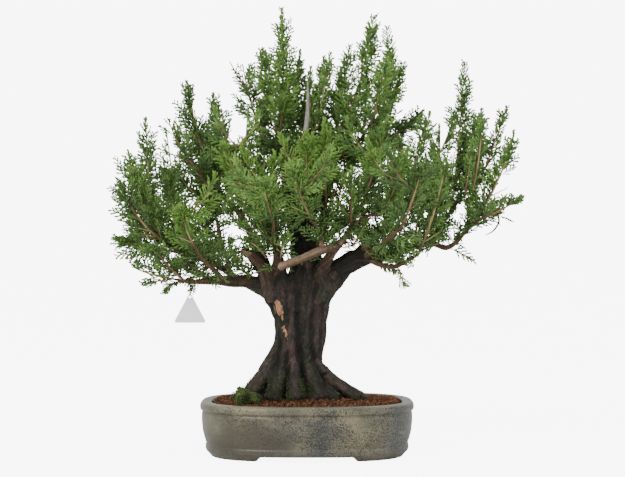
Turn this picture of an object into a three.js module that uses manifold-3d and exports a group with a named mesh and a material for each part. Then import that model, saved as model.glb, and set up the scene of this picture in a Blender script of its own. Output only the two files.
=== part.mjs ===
// Arborvitae bonsai in an oval glazed pot. Millimetres, +Z up, front towards -Y.
// The floor is z = 0, under the four feet of the pot.
import * as THREE from 'three';
import { mergeVertices } from 'three/addons/utils/BufferGeometryUtils.js';
import Module from 'manifold-3d';

// Driving dimensions
const GAP = 0.3; // clearance left between neighbouring pieces
const ROUND_SIDES = 32; // sides of the pot, the soil and the trunk alike, so that their edges match
const POT_HALF_LENGTH = 164;
const POT_HALF_WIDTH = 125;
const POT_HEIGHT = 82;
const POT_ROUNDNESS = 2.8; // exponent of the oval: 2 is an ellipse, more is squarer
const RIM_WIDTH = 19;
const RIM_UNDERCUT = 0.4;
const FOOT_HEIGHT = 8;
const FOOT_GAP_FRONT = 71; // half the gap between the feet, along the long side
const FOOT_GAP_END = 40; // half the gap between the feet, at the ends
const DRAIN_RADIUS = 12;
const DRAIN_PLACE = 75; // drain holes stand this far from the middle
const FLOOR_TOP = 17;
const SCREEN_SIZE = 32;
const SCREEN_THICK = 1.2;
const SCREEN_HOLES = 3; // holes along each side of a screen
const SCREEN_BAR = 0.3; // width of its bars as a share of their spacing
const SOIL_LEVEL = 80.5;
const SOIL_RISE = 6.5; // the soil rises this much against the trunk
const SOIL_AT_RIM = 78.5;
const SOIL_UNEVEN = 2.4;
const GRANULE_RELIEF = 2.2;
const MOSS_CENTRE = [-91, -62, 85]; // middle of the underside of the moss cushion
const MOSS_HALF = [18.4, 14.7, 22]; // its half length, half width and height
const MOSS_POINTS = 3.8; // height of the points on it
const MOSS_PATCH = 2.55; // the soil is flat out to this many times its size
const MOUND_MIDDLE = [-6, 4]; // middle of the soil mound round the trunk
const MOUND_HALF = [93, 62];
const MOUND_FADE = 30; // the mound falls away over this distance
const TRUNK_BOTTOM = 46; // the plain foot of the trunk reaches this deep into the soil
const TRUNK_PLAIN_TOP = 93;
const FOOTING_TOP = 138; // the root swellings fade out at this height
const FLUTE_DEPTH = 0.034; // depth of the flutes as a share of the trunk's half width
const TRUNK_TWIST = 0.006; // radians of twist per millimetre of height
const TAG_SIZE = 50;
const TAG_THICK = 1.2;
const TAG_HOLE_DEPTH = 7.4; // middle of the hole below the top corner
const TAG_HOLE_RADIUS = 2.2;
const TAG_CORNER = 5; // rounding of its corners
const TWIG_PLACE = [-178.3, -26, 263.7]; // where the twig that carries the tag is
const TIE_RADIUS = 0.6;
const TIE_ROUND = 4.8; // radius of the loop at both ends
const TIE_TOP = TWIG_PLACE[2] - 0.6;
const TIE_BOTTOM = 247.3;
const TAG_HOLE_TOP = TIE_BOTTOM - TIE_ROUND + TIE_RADIUS + GAP;
const PLACE_SHIFT = [-12.4, -20.7, 0]; // puts the middle of the whole object over the origin
const CROWN_LEFT = -304; // no side spray reaches further left
const CROWN_RIGHT = 324; // or further right
const SHOOT_HALF_WIDTH = 42; // reach of the longest side spray of a leafy shoot
const SHOOT_STEM = 1.8; // half the thickness of a green stem at its root
const STRETCH = 28; // spacing of the side sprays along a stem
const BEND_REACH = 0.62; // a stem bends this share of the way out to its tip
const BEND_RISE = [0.32, 0.16]; // and this share of the way up, the least and the spread
const STEM_ROOM = 2.2; // radius that a green stem keeps free round its middle line
const TWIG_ROOM = 2.4;
const SPRAY_ROOM = 1.8;
const STEM_SPACING = 2; // least free space between the stems of two shoots
const FORK_SPACING = 3; // and between a fork and anything else
const SPRAY_SPACING = 0.8; // and between the sprays of two shoots
const OWN_SPACING = 0.4; // and between two sprays of one shoot

// Side spray, a flat plate with three points: shares of its length along it and across it
const SPRAY_WAIST = 0.45;
const SPRAY_TIP = [1, 0.06];
const SPRAY_LOWER = [0.66, -0.3];
const SPRAY_UPPER = [0.74, 0.38];
const SPRAY_HALF_WIDTH = 2.4; // at its waist, in millimetres
const SPRAY_HALF_THICKNESS = 0.8;

// Tries for a side spray that has to find room: share of its length, turn from straight out
const SPRAY_TRIALS = [
  [1, 0], [1, 0.45], [1, -0.45], [0.75, 0], [0.75, 0.6], [0.75, -0.6], [0.5, 0], [0.5, 0.5], [0.36, 0]
];

// Fork of a shoot: how far its bend and its end lie outwards, and how far the end rises
const FORK_BEND = 36;
const FORK_REACH = 46;
const FORK_AHEAD = 14; // the bend also lies this far along the shoot
const FORK_RISE = [58, 16]; // the least and the spread
const FORK_SIZES = [1, 0.8, 0.65];

// Outline of the trunk: height, left edge, right edge, front edge, back edge
const TRUNK_OUTLINE = [
  [46, -96, 84, -54, 62],
  [93, -96, 84, -54, 62],
  [104, -92.5, 64, -46, 54],
  [120, -82, 36, -38, 48],
  [135, -72, 23, -34, 45],
  [150, -61, 24, -31, 44],
  [167, -52, 28, -29, 43],
  [183, -50, 30, -28, 42],
  [202, -51, 32, -27, 41],
  [220, -52, 36, -26, 40],
  [234, -56, 38, -22, 37],
  [250, -40, 26, -8, 26]
];

// Outside of the pot from its underside up: inset from the widest line, height
const POT_OUTSIDE = [
  [29, FOOT_HEIGHT + 1],
  [29.5, 0],
  [15.5, 0],
  [13, FOOT_HEIGHT - 1],
  [8.4, 10],
  [8.4, 17],
  [9, 19],
  [4.2, 38],
  [2.6, 54],
  [3.6, 67.5],
  [0.2, 71],
  [0.2, 78],
  [3.2, POT_HEIGHT]
];

// Inside of the pot from its rim down: inset from the widest line, height
const POT_INSIDE = [
  [RIM_WIDTH, POT_HEIGHT],
  [RIM_WIDTH + RIM_UNDERCUT, POT_HEIGHT - 5],
  [RIM_WIDTH - 5, POT_HEIGHT - 12],
  [RIM_WIDTH - 2, 32],
  [RIM_WIDTH + 5, FLOOR_TOP + 5],
  [RIM_WIDTH + 13, FLOOR_TOP]
];

// Root swellings round the foot of the trunk: angle in degrees, strength, spread in degrees
const ROOT_SWELLINGS = [
  [352, 0.16, 13],
  [300, 0.16, 14],
  [262, 0.1, 12],
  [222, 0.2, 13],
  [184, 0.15, 13],
  [138, 0.17, 15],
  [92, 0.12, 14],
  [45, 0.2, 13]
];

// Limbs whose shoots may fork
const FORKED = [
  'left_front', 'red_branch', 'front_middle', 'twin_left', 'twin_right', 'inner_stem',
  'orange_stem', 'right_front', 'right_low', 'back_left', 'back_middle', 'back_right', 'dark_riser'
];

// Centre lines of the limbs: x, y, z, radius
const LIMBS = {
  centre_trunk: [
    [-11, 8, 216, 33], [-3, 10, 255, 31], [0, 12, 287, 26], [-9, 16, 326, 18], [-22, 20, 366, 12],
    [-30, 22, 405, 9], [-34, 22, 444, 6.5]
  ],
  left_trunk: [
    [-26, 4, 223, 26], [-48, 4, 247, 20], [-62, 4, 271, 13], [-68, 8, 294, 9], [-79, 14, 320, 7],
    [-93, 18, 348, 5.5], [-107, 20, 371, 4.5], [-128, 22, 393, 3.4]
  ],
  right_limb: [
    [-2, 4, 226, 26], [26, 4, 255, 21], [48, 2, 280, 17], [69, -2, 295, 15], [94, -8, 302, 11.5],
    [118, -14, 305, 7.5]
  ],
  left_low: [
    [-40, 8, 235, 15], [-68, 10, 253, 12], [-91, 8, 263, 9.5], [-111, 4, 264, 8],
    [-132, -4, 265, 6], [-153, -14, 265, 4.2], [-178, -26, 264, 2.6], [-205, -40, 269, 1.6]
  ],
  left_rise: [
    [-150, -13, 265, 3.6], [-166, -24, 280, 3.3], [-181, -34, 296, 3], [-198, -44, 313, 2.7],
    [-216, -52, 323, 2.4], [-230, -56, 343, 2.1]
  ],
  left_back: [
    [-107, 6, 266, 5.5], [-133, 30, 284, 4.5], [-163, 58, 296, 3.6], [-193, 84, 305, 2.8],
    [-220, 104, 318, 1.9]
  ],
  left_front: [
    [-128, -6, 265, 4.5], [-141, -40, 282, 3.8], [-155, -76, 298, 3], [-164, -104, 316, 2]
  ],
  dark_riser: [
    [-117, 6, 266, 4], [-123, 20, 294, 3.6], [-133, 34, 321, 3], [-140, 46, 350, 2.6]
  ],
  upper_left: [
    [-128, 22, 393, 3.2], [-145, 26, 419, 2.8], [-157, 28, 451, 2.3]
  ],
  upper_left_low: [
    [-123, 21, 388, 2.8], [-144, 8, 400, 2.4], [-158, -4, 418, 2], [-170, -12, 438, 1.6]
  ],
  red_branch: [
    [-54, -4, 266, 9], [-46, -16, 294, 7], [-47, -26, 322, 6.2], [-53, -32, 346, 4.6],
    [-70, -36, 367, 3.6], [-88, -36, 382, 3], [-100, -32, 402, 2.5]
  ],
  peeled_snag: [
    [-54, -14, 233, 5], [-69, -14, 262, 4], [-77, -12, 285, 3.4], [-89, -10, 302, 3],
    [-104, -8, 309, 3]
  ],
  front_riser: [
    [14, -6, 266, 12], [29, -18, 293, 9], [41, -30, 312, 6.5], [58, -34, 332, 5],
    [70, -34, 351, 3.6]
  ],
  pruned_bough: [
    [47, -32, 319, 5.5], [20, -44, 311, 5], [-10, -50, 299, 4.8], [-41, -54, 287, 4.6]
  ],
  twin_stem: [
    [23, -42, 313, 4], [21, -50, 328, 3.4], [20, -58, 344, 2.8]
  ],
  twin_left: [
    [20, -57, 341, 2.5], [8, -66, 356, 2.2], [-1, -72, 376, 1.9]
  ],
  twin_right: [
    [21, -53, 332, 2.4], [27, -54, 353, 2.1], [29, -56, 377, 1.9]
  ],
  cut_stub: [
    [27, -53, 346, 2.4], [33, -46, 373, 2.4], [41, -42, 403, 2.4]
  ],
  orange_stem: [
    [70, -34, 349, 3.2], [88, -40, 363, 2.8], [110, -46, 367, 2.5], [131, -52, 374, 2.2]
  ],
  inner_stem: [
    [61, -34, 337, 3], [75, -30, 367, 2.5], [85, -28, 386, 2.1]
  ],
  right_low: [
    [97, -12, 297, 5], [113, -24, 290, 4.2], [131, -38, 287, 3.6], [149, -52, 295, 3],
    [167, -64, 307, 2.5]
  ],
  right_main: [
    [115, -14, 305, 7], [136, -14, 309, 6.2], [162, -18, 319, 5.4], [188, -26, 323, 4.6],
    [211, -36, 316, 4.2], [226, -44, 325, 3.6], [240, -52, 341, 3], [259, -62, 358, 2.4]
  ],
  right_fan: [
    [186, -25, 323, 4.2], [199, -14, 341, 3.7], [215, -4, 363, 3.2], [231, 4, 385, 2.7]
  ],
  right_back: [
    [69, 0, 294, 8], [89, 30, 318, 6.5], [112, 62, 340, 5], [139, 92, 361, 3.6], [166, 116, 386, 2]
  ],
  right_front: [
    [90, -14, 302, 5], [110, -50, 319, 4], [127, -84, 334, 3], [140, -112, 348, 2]
  ],
  leader_left: [
    [-33, 22, 433, 6], [-42, 24, 468, 4.6], [-47, 24, 499, 3.4]
  ],
  leader_far_left: [
    [-33, 22, 443, 4.5], [-55, 40, 469, 3.4], [-71, 52, 493, 2.6], [-79, 58, 517, 1.8]
  ],
  deadwood_spike: [
    [-30, 20, 436, 6], [-14, 8, 467, 5.5], [-3, 0, 494, 4.4], [1, -4, 528, 3], [1, -6, 575, 0.8]
  ],
  leader_right: [
    [-11, 16, 328, 11], [6, 28, 368, 8], [23, 34, 409, 6], [40, 34, 453, 4.6], [51, 30, 493, 3.2]
  ],
  leader_mid: [
    [40, 34, 449, 4], [65, 20, 467, 3], [83, 8, 484, 2.4], [95, 2, 503, 1.8]
  ],
  leader_far_right: [
    [25, 34, 412, 5], [58, 48, 434, 4], [85, 58, 462, 3.2], [104, 62, 495, 2.5]
  ],
  back_left: [
    [-17, 24, 351, 8], [-43, 62, 369, 6], [-72, 96, 387, 4], [-99, 122, 408, 2]
  ],
  back_middle: [
    [-11, 22, 331, 9], [-8, 68, 356, 6.5], [-2, 110, 382, 4.4], [8, 142, 412, 2]
  ],
  back_right: [
    [-3, 18, 312, 9], [30, 60, 334, 6.5], [62, 98, 356, 4.4], [89, 128, 383, 2]
  ],
  front_middle: [
    [-47, -24, 312, 4], [-50, -58, 334, 3], [-50, -90, 355, 2]
  ],
};

// Leafy shoots: limb, place along the limb from 0 to 1, tip, and how far a neighbour pushes its bend
const SHOOTS = [
  ['left_rise', 1, [-244, -50, 513]],
  ['left_rise', 0.84, [-267, -78, 462], [-8, -24]],
  ['left_rise', 0.68, [-282, -92, 420], [-4, -36]],
  ['left_rise', 0.56, [-291, -62, 331]],
  ['left_rise', 0.4, [-220, -18, 455]],
  ['left_low', 1, [-261, -62, 287]],
  ['left_low', 0.88, [-227, -116, 322]],
  ['left_back', 1, [-273, 128, 444]],
  ['left_back', 0.75, [-225, 86, 506]],
  ['left_back', 0.45, [-166, 112, 456]],
  ['left_front', 1, [-183, -152, 377]],
  ['dark_riser', 1, [-176, 74, 512]],
  ['upper_left', 1, [-188, 34, 577]],
  ['upper_left', 0.7, [-148, 52, 559], [8, 14]],
  ['upper_left', 0.35, [-119, 8, 513]],
  ['upper_left_low', 1, [-212, -22, 512]],
  ['red_branch', 1, [-90, -30, 526]],
  ['red_branch', 0.84, [-124, -66, 475]],
  ['red_branch', 0.6, [-49, -70, 460]],
  ['front_middle', 1, [-65, -146, 418]],
  ['leader_far_left', 1, [-102, 70, 605]],
  ['leader_left', 1, [-69, 28, 627]],
  ['leader_left', 0.7, [-40, 6, 686], [10, -28]],
  ['red_branch', 0.35, [-85, -86, 396]],
  ['centre_trunk', 1, [-11, 56, 627]],
  ['back_left', 1, [-139, 152, 520]],
  ['back_left', 0.6, [-74, 136, 548]],
  ['back_middle', 1, [-6, 172, 565]],
  ['twin_left', 1, [0, -92, 491]],
  ['twin_right', 1, [26, -62, 511]],
  ['twin_left', 0.4, [-24, -128, 445]],
  ['leader_right', 1, [104, 22, 677]],
  ['leader_right', 0.8, [67, 52, 634], [-4, 26]],
  ['leader_right', 0.55, [27, 68, 619], [-18, 24]],
  ['leader_mid', 1, [121, -8, 607]],
  ['front_riser', 0.95, [67, -94, 437]],
  ['leader_far_right', 1, [151, 84, 611]],
  ['leader_far_right', 0.65, [188, 112, 537]],
  ['orange_stem', 1, [185, -64, 521]],
  ['orange_stem', 0.7, [150, -100, 467]],
  ['inner_stem', 1, [124, -24, 517]],
  ['right_low', 1, [211, -94, 467]],
  ['right_fan', 1, [272, 22, 533]],
  ['right_fan', 0.8, [243, 0, 602]],
  ['right_fan', 0.4, [208, 44, 509]],
  ['right_main', 1, [320, -84, 393]],
  ['right_main', 0.8, [312, -56, 493], [10, 16]],
  ['right_main', 0.3, [169, -72, 412]],
  ['right_back', 1, [243, 152, 537]],
  ['right_back', 0.6, [154, 138, 497], [-10, 14]],
  ['right_front', 1, [169, -160, 443]],
  ['back_right', 1, [122, 160, 527]],
];

const wasm = await Module();
wasm.setup();

// Small vector helpers on plain arrays
const add = (a, b) => [a[0] + b[0], a[1] + b[1], a[2] + b[2]];
const sub = (a, b) => [a[0] - b[0], a[1] - b[1], a[2] - b[2]];
const mul = (a, s) => [a[0] * s, a[1] * s, a[2] * s];
const dot = (a, b) => a[0] * b[0] + a[1] * b[1] + a[2] * b[2];
const cross = (a, b) => [
  a[1] * b[2] - a[2] * b[1],
  a[2] * b[0] - a[0] * b[2],
  a[0] * b[1] - a[1] * b[0]
];
const length = (a) => Math.hypot(a[0], a[1], a[2]);
const unit = (a) => mul(a, 1 / (length(a) || 1));
const mix = (a, b, t) => add(mul(a, 1 - t), mul(b, t));
const clamp = (v, low, high) => Math.min(high, Math.max(low, v));

// Seeded draw, the same on every run
function seededDraw(seed) {
  let state = seed >>> 0;
  return () => {
    state = (state + 0x6d2b79f5) >>> 0;
    let t = state;
    t = Math.imul(t ^ (t >>> 15), t | 1);
    t ^= t + Math.imul(t ^ (t >>> 7), t | 61);
    return ((t ^ (t >>> 14)) >>> 0) / 4294967296;
  };
}

// Closed meshes as lists of points and triangles
function solidOf(points, faces) {
  return new wasm.Manifold(new wasm.Mesh({
    numProp: 3,
    vertProperties: Float32Array.from(points.flat()),
    triVerts: Uint32Array.from(faces.flat())
  }));
}

function geometryOf(points, faces) {
  const geometry = new THREE.BufferGeometry();
  geometry.setAttribute('position', new THREE.Float32BufferAttribute(points.flat(), 3));
  geometry.setIndex(faces.flat());
  geometry.computeVertexNormals();
  return geometry;
}

function geometryFromSolid(solid) {
  const mesh = solid.getMesh();
  const positions = new Float32Array(mesh.vertProperties);
  const geometry = new THREE.BufferGeometry();
  geometry.setAttribute('position', new THREE.BufferAttribute(positions, 3));
  geometry.setIndex(Array.from(mesh.triVerts));
  geometry.computeVertexNormals();
  return geometry;
}

function solidFromGeometry(source) {
  const geometry = source.clone();
  geometry.deleteAttribute('normal');
  geometry.deleteAttribute('uv');
  const merged = mergeVertices(geometry, 1e-4);
  return new wasm.Manifold(new wasm.Mesh({
    numProp: 3,
    vertProperties: new Float32Array(merged.attributes.position.array),
    triVerts: Uint32Array.from(merged.index.array)
  }));
}

// Skin over a row of rings with equal counts, closed at both ends; raised(i, k) gives the height
// of a small pyramid on the panel between rings i and i + 1, or 0
function loft(rings, raised = () => 0) {
  const points = rings.flat();
  const faces = [];
  const count = rings[0].length;
  for (let i = 0; i + 1 < rings.length; i += 1) {
    for (let k = 0; k < count; k += 1) {
      const a = i * count + k;
      const b = i * count + (k + 1) % count;
      const c = b + count;
      const d = a + count;
      const height = raised(i, k);
      if (height) {
        const normal = unit(cross(sub(points[c], points[a]), sub(points[d], points[b])));
        const middle = mul(add(add(points[a], points[b]), add(points[c], points[d])), 0.25);
        const top = points.push(add(middle, mul(normal, height))) - 1;
        faces.push([a, b, top], [b, c, top], [c, d, top], [d, a, top]);
      } else {
        faces.push([a, b, c], [a, c, d]);
      }
    }
  }
  const last = (rings.length - 1) * count;
  const average = (ring) => mul(ring.reduce(add, [0, 0, 0]), 1 / ring.length);
  const start = points.push(average(rings[0])) - 1;
  const end = points.push(average(rings[rings.length - 1])) - 1;
  for (let k = 0; k < count; k += 1) {
    const next = (k + 1) % count;
    faces.push([start, next, k], [end, last + k, last + next]);
  }
  return { points, faces };
}

// Round bar along a row of stations x, y, z, radius
function bar(stations, sides) {
  const rings = [];
  let across = null;
  stations.forEach((station, i) => {
    const before = stations[Math.max(0, i - 1)];
    const after = stations[Math.min(stations.length - 1, i + 1)];
    const along = unit(sub(after, before));
    if (!across) across = Math.abs(along[2]) < 0.9 ? [0, 0, 1] : [0, 1, 0];
    across = unit(sub(across, mul(along, dot(across, along))));
    const third = cross(along, across);
    const ring = [];
    for (let k = 0; k < sides; k += 1) {
      const turn = 2 * Math.PI * k / sides;
      const out = add(mul(across, Math.cos(turn) * station[3]), mul(third, Math.sin(turn) * station[3]));
      ring.push(add(station, out));
    }
    rings.push(ring);
  });
  return loft(rings);
}

// Oval of the pot, drawn in a little from the widest line of the rim
function oval(inset, height) {
  const ring = [];
  for (let k = 0; k < ROUND_SIDES; k += 1) {
    const turn = 2 * Math.PI * k / ROUND_SIDES;
    const x = Math.cos(turn);
    const y = Math.sin(turn);
    const sum = Math.abs(x) ** POT_ROUNDNESS + Math.abs(y) ** POT_ROUNDNESS;
    const reach = sum ** (-1 / POT_ROUNDNESS);
    ring.push([(POT_HALF_LENGTH - inset) * x * reach, (POT_HALF_WIDTH - inset) * y * reach, height]);
  }
  return ring;
}

// Box with sloping sides, from a bottom rectangle to a top rectangle
function slopedBox(bottom, top, low, high) {
  const corners = [[1, -1], [1, 1], [-1, 1], [-1, -1]];
  const ring = (half, z) => corners.map(([x, y]) => [x * half[0], y * half[1], z]);
  return loft([ring(bottom, low), ring(top, high)]);
}

function makePot() {
  const rings = POT_OUTSIDE.concat(POT_INSIDE).map(([inset, z]) => oval(inset, z));
  const shell = loft(rings);
  let pot = solidOf(shell.points, shell.faces);
  const past = POT_HALF_LENGTH + 36; // the cuts run out past the pot
  const top = FOOT_HEIGHT - 0.6;
  const frontGap = slopedBox([FOOT_GAP_FRONT + 5, past], [FOOT_GAP_FRONT - 4, past], -1, top);
  const endGap = slopedBox([past, FOOT_GAP_END + 4], [past, FOOT_GAP_END - 3], -1, top);
  pot = pot.subtract(solidOf(frontGap.points, frontGap.faces));
  pot = pot.subtract(solidOf(endGap.points, endGap.faces));
  for (const side of [-1, 1]) {
    const drain = new THREE.CylinderGeometry(DRAIN_RADIUS, DRAIN_RADIUS, 40, 20);
    drain.rotateX(Math.PI / 2);
    drain.translate(side * DRAIN_PLACE, 0, FLOOR_TOP);
    pot = pot.subtract(solidFromGeometry(drain));
  }
  return geometryFromSolid(pot);
}

// Mesh screen over a drain hole, two crossing rows of flat bars
function makeScreen(side) {
  const pitch = SCREEN_SIZE / (SCREEN_HOLES + SCREEN_BAR);
  const width = pitch * SCREEN_BAR;
  const bars = [];
  for (let i = 0; i <= SCREEN_HOLES; i += 1) {
    const away = (i - SCREEN_HOLES / 2) * pitch;
    const lengthwise = new THREE.BoxGeometry(SCREEN_SIZE, width, SCREEN_THICK);
    lengthwise.translate(0, away, 0);
    const crosswise = new THREE.BoxGeometry(width, SCREEN_SIZE, SCREEN_THICK);
    crosswise.translate(away, 0, 0);
    bars.push(solidFromGeometry(lengthwise), solidFromGeometry(crosswise));
  }
  const screen = geometryFromSolid(bars.reduce((whole, next) => whole.add(next)));
  screen.translate(side * DRAIN_PLACE, 0, FLOOR_TOP + GAP + SCREEN_THICK / 2);
  return screen;
}

// Section of the trunk at a height, a ring of points round it
function trunkOutlineAt(z) {
  let i = 0;
  while (i < TRUNK_OUTLINE.length - 2 && TRUNK_OUTLINE[i + 1][0] < z) i += 1;
  const t = clamp((z - TRUNK_OUTLINE[i][0]) / (TRUNK_OUTLINE[i + 1][0] - TRUNK_OUTLINE[i][0]), 0, 1);
  return TRUNK_OUTLINE[i].map((value, j) => value + (TRUNK_OUTLINE[i + 1][j] - value) * t);
}

function trunkRing(z, grown = 0) {
  const level = Math.max(z, TRUNK_PLAIN_TOP);
  const [, left, right, front, back] = trunkOutlineAt(level);
  const footing = clamp((FOOTING_TOP - level) / (FOOTING_TOP - TRUNK_PLAIN_TOP), 0, 1);
  const fluted = FLUTE_DEPTH * (1 - 0.6 * footing);
  const ring = [];
  for (let k = 0; k < ROUND_SIDES; k += 1) {
    const turn = 2 * Math.PI * k / ROUND_SIDES;
    let reach = 0.985 - 0.12 * footing;
    for (const [angle, strength, spread] of ROOT_SWELLINGS) {
      let away = Math.abs(turn * 180 / Math.PI - angle);
      away = Math.min(away, 360 - away);
      reach += footing * strength * Math.exp(-((away / spread) ** 2));
    }
    const twist = turn - (level - TRUNK_PLAIN_TOP) * TRUNK_TWIST;
    reach += fluted * (Math.cos(6 * twist + 0.7) + 0.7 * Math.cos(9 * twist + 2.1));
    const x = (left + right) / 2 + Math.cos(turn) * ((right - left) / 2 * reach + grown);
    const y = (front + back) / 2 + Math.sin(turn) * ((back - front) / 2 * reach + grown);
    ring.push([x, y, z]);
  }
  return ring;
}

// Level of the soil: flat under the moss cushion, rising towards the trunk
function soilHeight(x, y) {
  const away = (middle, half) => Math.hypot((x - middle[0]) / half[0], (y - middle[1]) / half[1]);
  if (away(MOSS_CENTRE, MOSS_HALF) < MOSS_PATCH) return MOSS_CENTRE[2] - GAP;
  const fromTrunk = Math.max(0, away(MOUND_MIDDLE, MOUND_HALF) - 1) * MOUND_HALF[1];
  return SOIL_LEVEL + SOIL_RISE * Math.exp(-fromTrunk / MOUND_FADE);
}

// Soil: a filled body with a plain hole for the trunk, granules as relief on top
function makeSoil() {
  const draw = seededDraw(41);
  const hole = trunkRing(TRUNK_PLAIN_TOP, 0.5);
  const edge = oval(RIM_WIDTH + RIM_UNDERCUT + GAP, 0);
  const surface = [0, 0.2, 0.4, 0.6, 0.8, 1];
  const rings = [hole.map((p) => [p[0], p[1], TRUNK_BOTTOM - GAP])];
  surface.forEach((t, i) => {
    const shaken = i > 0 && i < surface.length - 1 ? 0.035 : 0;
    rings.push(hole.map((p, k) => {
      const s = t + shaken * (draw() - 0.5);
      const x = p[0] + (edge[k][0] - p[0]) * s;
      const y = p[1] + (edge[k][1] - p[1]) * s;
      const atRim = i === surface.length - 1;
      const level = atRim ? SOIL_AT_RIM : soilHeight(x, y);
      const flat = atRim || level === MOSS_CENTRE[2] - GAP;
      return [x, y, flat ? level : level + SOIL_UNEVEN * (draw() - 0.5)];
    }));
  });
  for (const [inset, z] of POT_INSIDE.slice(1)) {
    const raised = z === FLOOR_TOP ? FLOOR_TOP + GAP : z;
    rings.push(oval(inset + GAP, raised));
  }
  rings.reverse();
  const firstTop = rings.length - 1 - surface.length;
  const isFlat = (ring, k) => ring[k][2] === MOSS_CENTRE[2] - GAP;
  const granule = (i, k) => {
    const next = (k + 1) % ROUND_SIDES;
    const onTop = i >= firstTop && i < firstTop + surface.length - 1;
    const corners = [isFlat(rings[i], k), isFlat(rings[i], next)];
    if (i + 1 < rings.length) corners.push(isFlat(rings[i + 1], k), isFlat(rings[i + 1], next));
    return onTop && !corners.includes(true) ? GRANULE_RELIEF * (0.4 + 0.6 * draw()) : 0;
  };
  const body = loft(rings, granule);
  let soil = solidOf(body.points, body.faces);
  for (const side of [-1, 1]) {
    const wide = SCREEN_SIZE + 2 * GAP;
    const room = new THREE.BoxGeometry(wide, wide, 2 * (SCREEN_THICK + 2 * GAP));
    room.translate(side * DRAIN_PLACE, 0, FLOOR_TOP);
    soil = soil.subtract(solidFromGeometry(room));
  }
  return geometryFromSolid(soil);
}

// Moss cushion at the foot of the trunk, a low mound covered in small points
function makeMoss() {
  const draw = seededDraw(7);
  const sides = 12;
  const profile = [[1, 0], [1, 0.32], [0.76, 0.72], [0.36, 0.96]];
  const rings = profile.map(([reach, height], i) => {
    const ring = [];
    for (let k = 0; k < sides; k += 1) {
      const turn = 2 * Math.PI * (k + 0.5 * (i % 2)) / sides;
      const wobble = reach * (1 + 0.07 * Math.sin(3 * turn + 1));
      ring.push([
        MOSS_CENTRE[0] + MOSS_HALF[0] * wobble * Math.cos(turn),
        MOSS_CENTRE[1] + MOSS_HALF[1] * wobble * Math.sin(turn),
        MOSS_CENTRE[2] + MOSS_HALF[2] * height
      ]);
    }
    return ring;
  });
  const cushion = loft(rings, () => MOSS_POINTS * (0.58 + 0.42 * draw()));
  return geometryOf(cushion.points, cushion.faces);
}

// Nearest distance between two straight segments
function segmentDistance(p, q, r, s) {
  const d1 = sub(q, p);
  const d2 = sub(s, r);
  const w = sub(p, r);
  const a = dot(d1, d1);
  const e = dot(d2, d2);
  const f = dot(d2, w);
  const c = dot(d1, w);
  const b = dot(d1, d2);
  const spread = a * e - b * b;
  let u = spread > 1e-9 ? clamp((b * f - c * e) / spread, 0, 1) : 0;
  let v = e > 1e-9 ? (b * u + f) / e : 0;
  if (v < 0 || v > 1) {
    v = clamp(v, 0, 1);
    u = a > 1e-9 ? clamp((b * v - c) / a, 0, 1) : 0;
  }
  return length(add(w, sub(mul(d1, u), mul(d2, v))));
}

// A rod is two ends, a radius and an owner; clearance is the least free space to other rods
function clearance(rods, others, skip = () => false, enough = 0) {
  let least = Infinity;
  for (const rod of rods) {
    for (const other of others) {
      if (skip(other)) continue;
      const both = rod.radius + other.radius;
      const far = [0, 1, 2].some((j) => {
        const below = Math.min(rod.from[j], rod.to[j]) - Math.max(other.from[j], other.to[j]);
        const above = Math.min(other.from[j], other.to[j]) - Math.max(rod.from[j], rod.to[j]);
        return Math.max(below, above) > both + enough;
      });
      if (far) continue;
      least = Math.min(least, segmentDistance(rod.from, rod.to, other.from, other.to) - both);
      if (least < enough) return least;
    }
  }
  return least;
}

// Place along a limb, from 0 at its root to 1 at its end
function placeOnLimb(stations, t) {
  const lengths = stations.slice(1).map((p, i) => length(sub(p, stations[i])));
  let rest = t * lengths.reduce((sum, value) => sum + value, 0);
  let i = 0;
  while (i < lengths.length - 1 && rest > lengths[i]) {
    rest -= lengths[i];
    i += 1;
  }
  const s = clamp(rest / lengths[i], 0, 1);
  const at = mix(stations[i], stations[i + 1], s);
  const radius = stations[i][3] + (stations[i + 1][3] - stations[i][3]) * s;
  const along = unit(sub(stations[i + 1], stations[i]));
  return { at, radius, along };
}

// Point on a three-point bow
function bow(start, bend, end, t) {
  return mix(mix(start, bend, t), mix(bend, end, t), t);
}

// Things the shoots keep clear of
const woodRods = [];
for (const stations of Object.values(LIMBS)) {
  for (let i = 0; i + 1 < stations.length; i += 1) {
    const radius = Math.max(stations[i][3], stations[i + 1][3]);
    woodRods.push({ from: stations[i], to: stations[i + 1], radius });
  }
}
for (const x of [-30, -8, 14]) {
  woodRods.push({ from: [x, 8, 120], to: [x, 8, 225], radius: 26 });
}
for (let i = 0; i < 6; i += 1) {
  const z = TWIG_PLACE[2] - 10 - i * 9; // rows across the tag, wider downwards
  const half = 4 + i * 5;
  const from = [TWIG_PLACE[0] - half, TWIG_PLACE[1], z];
  const to = [TWIG_PLACE[0] + half, TWIG_PLACE[1], z];
  woodRods.push({ from, to, radius: 5 });
}

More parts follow.
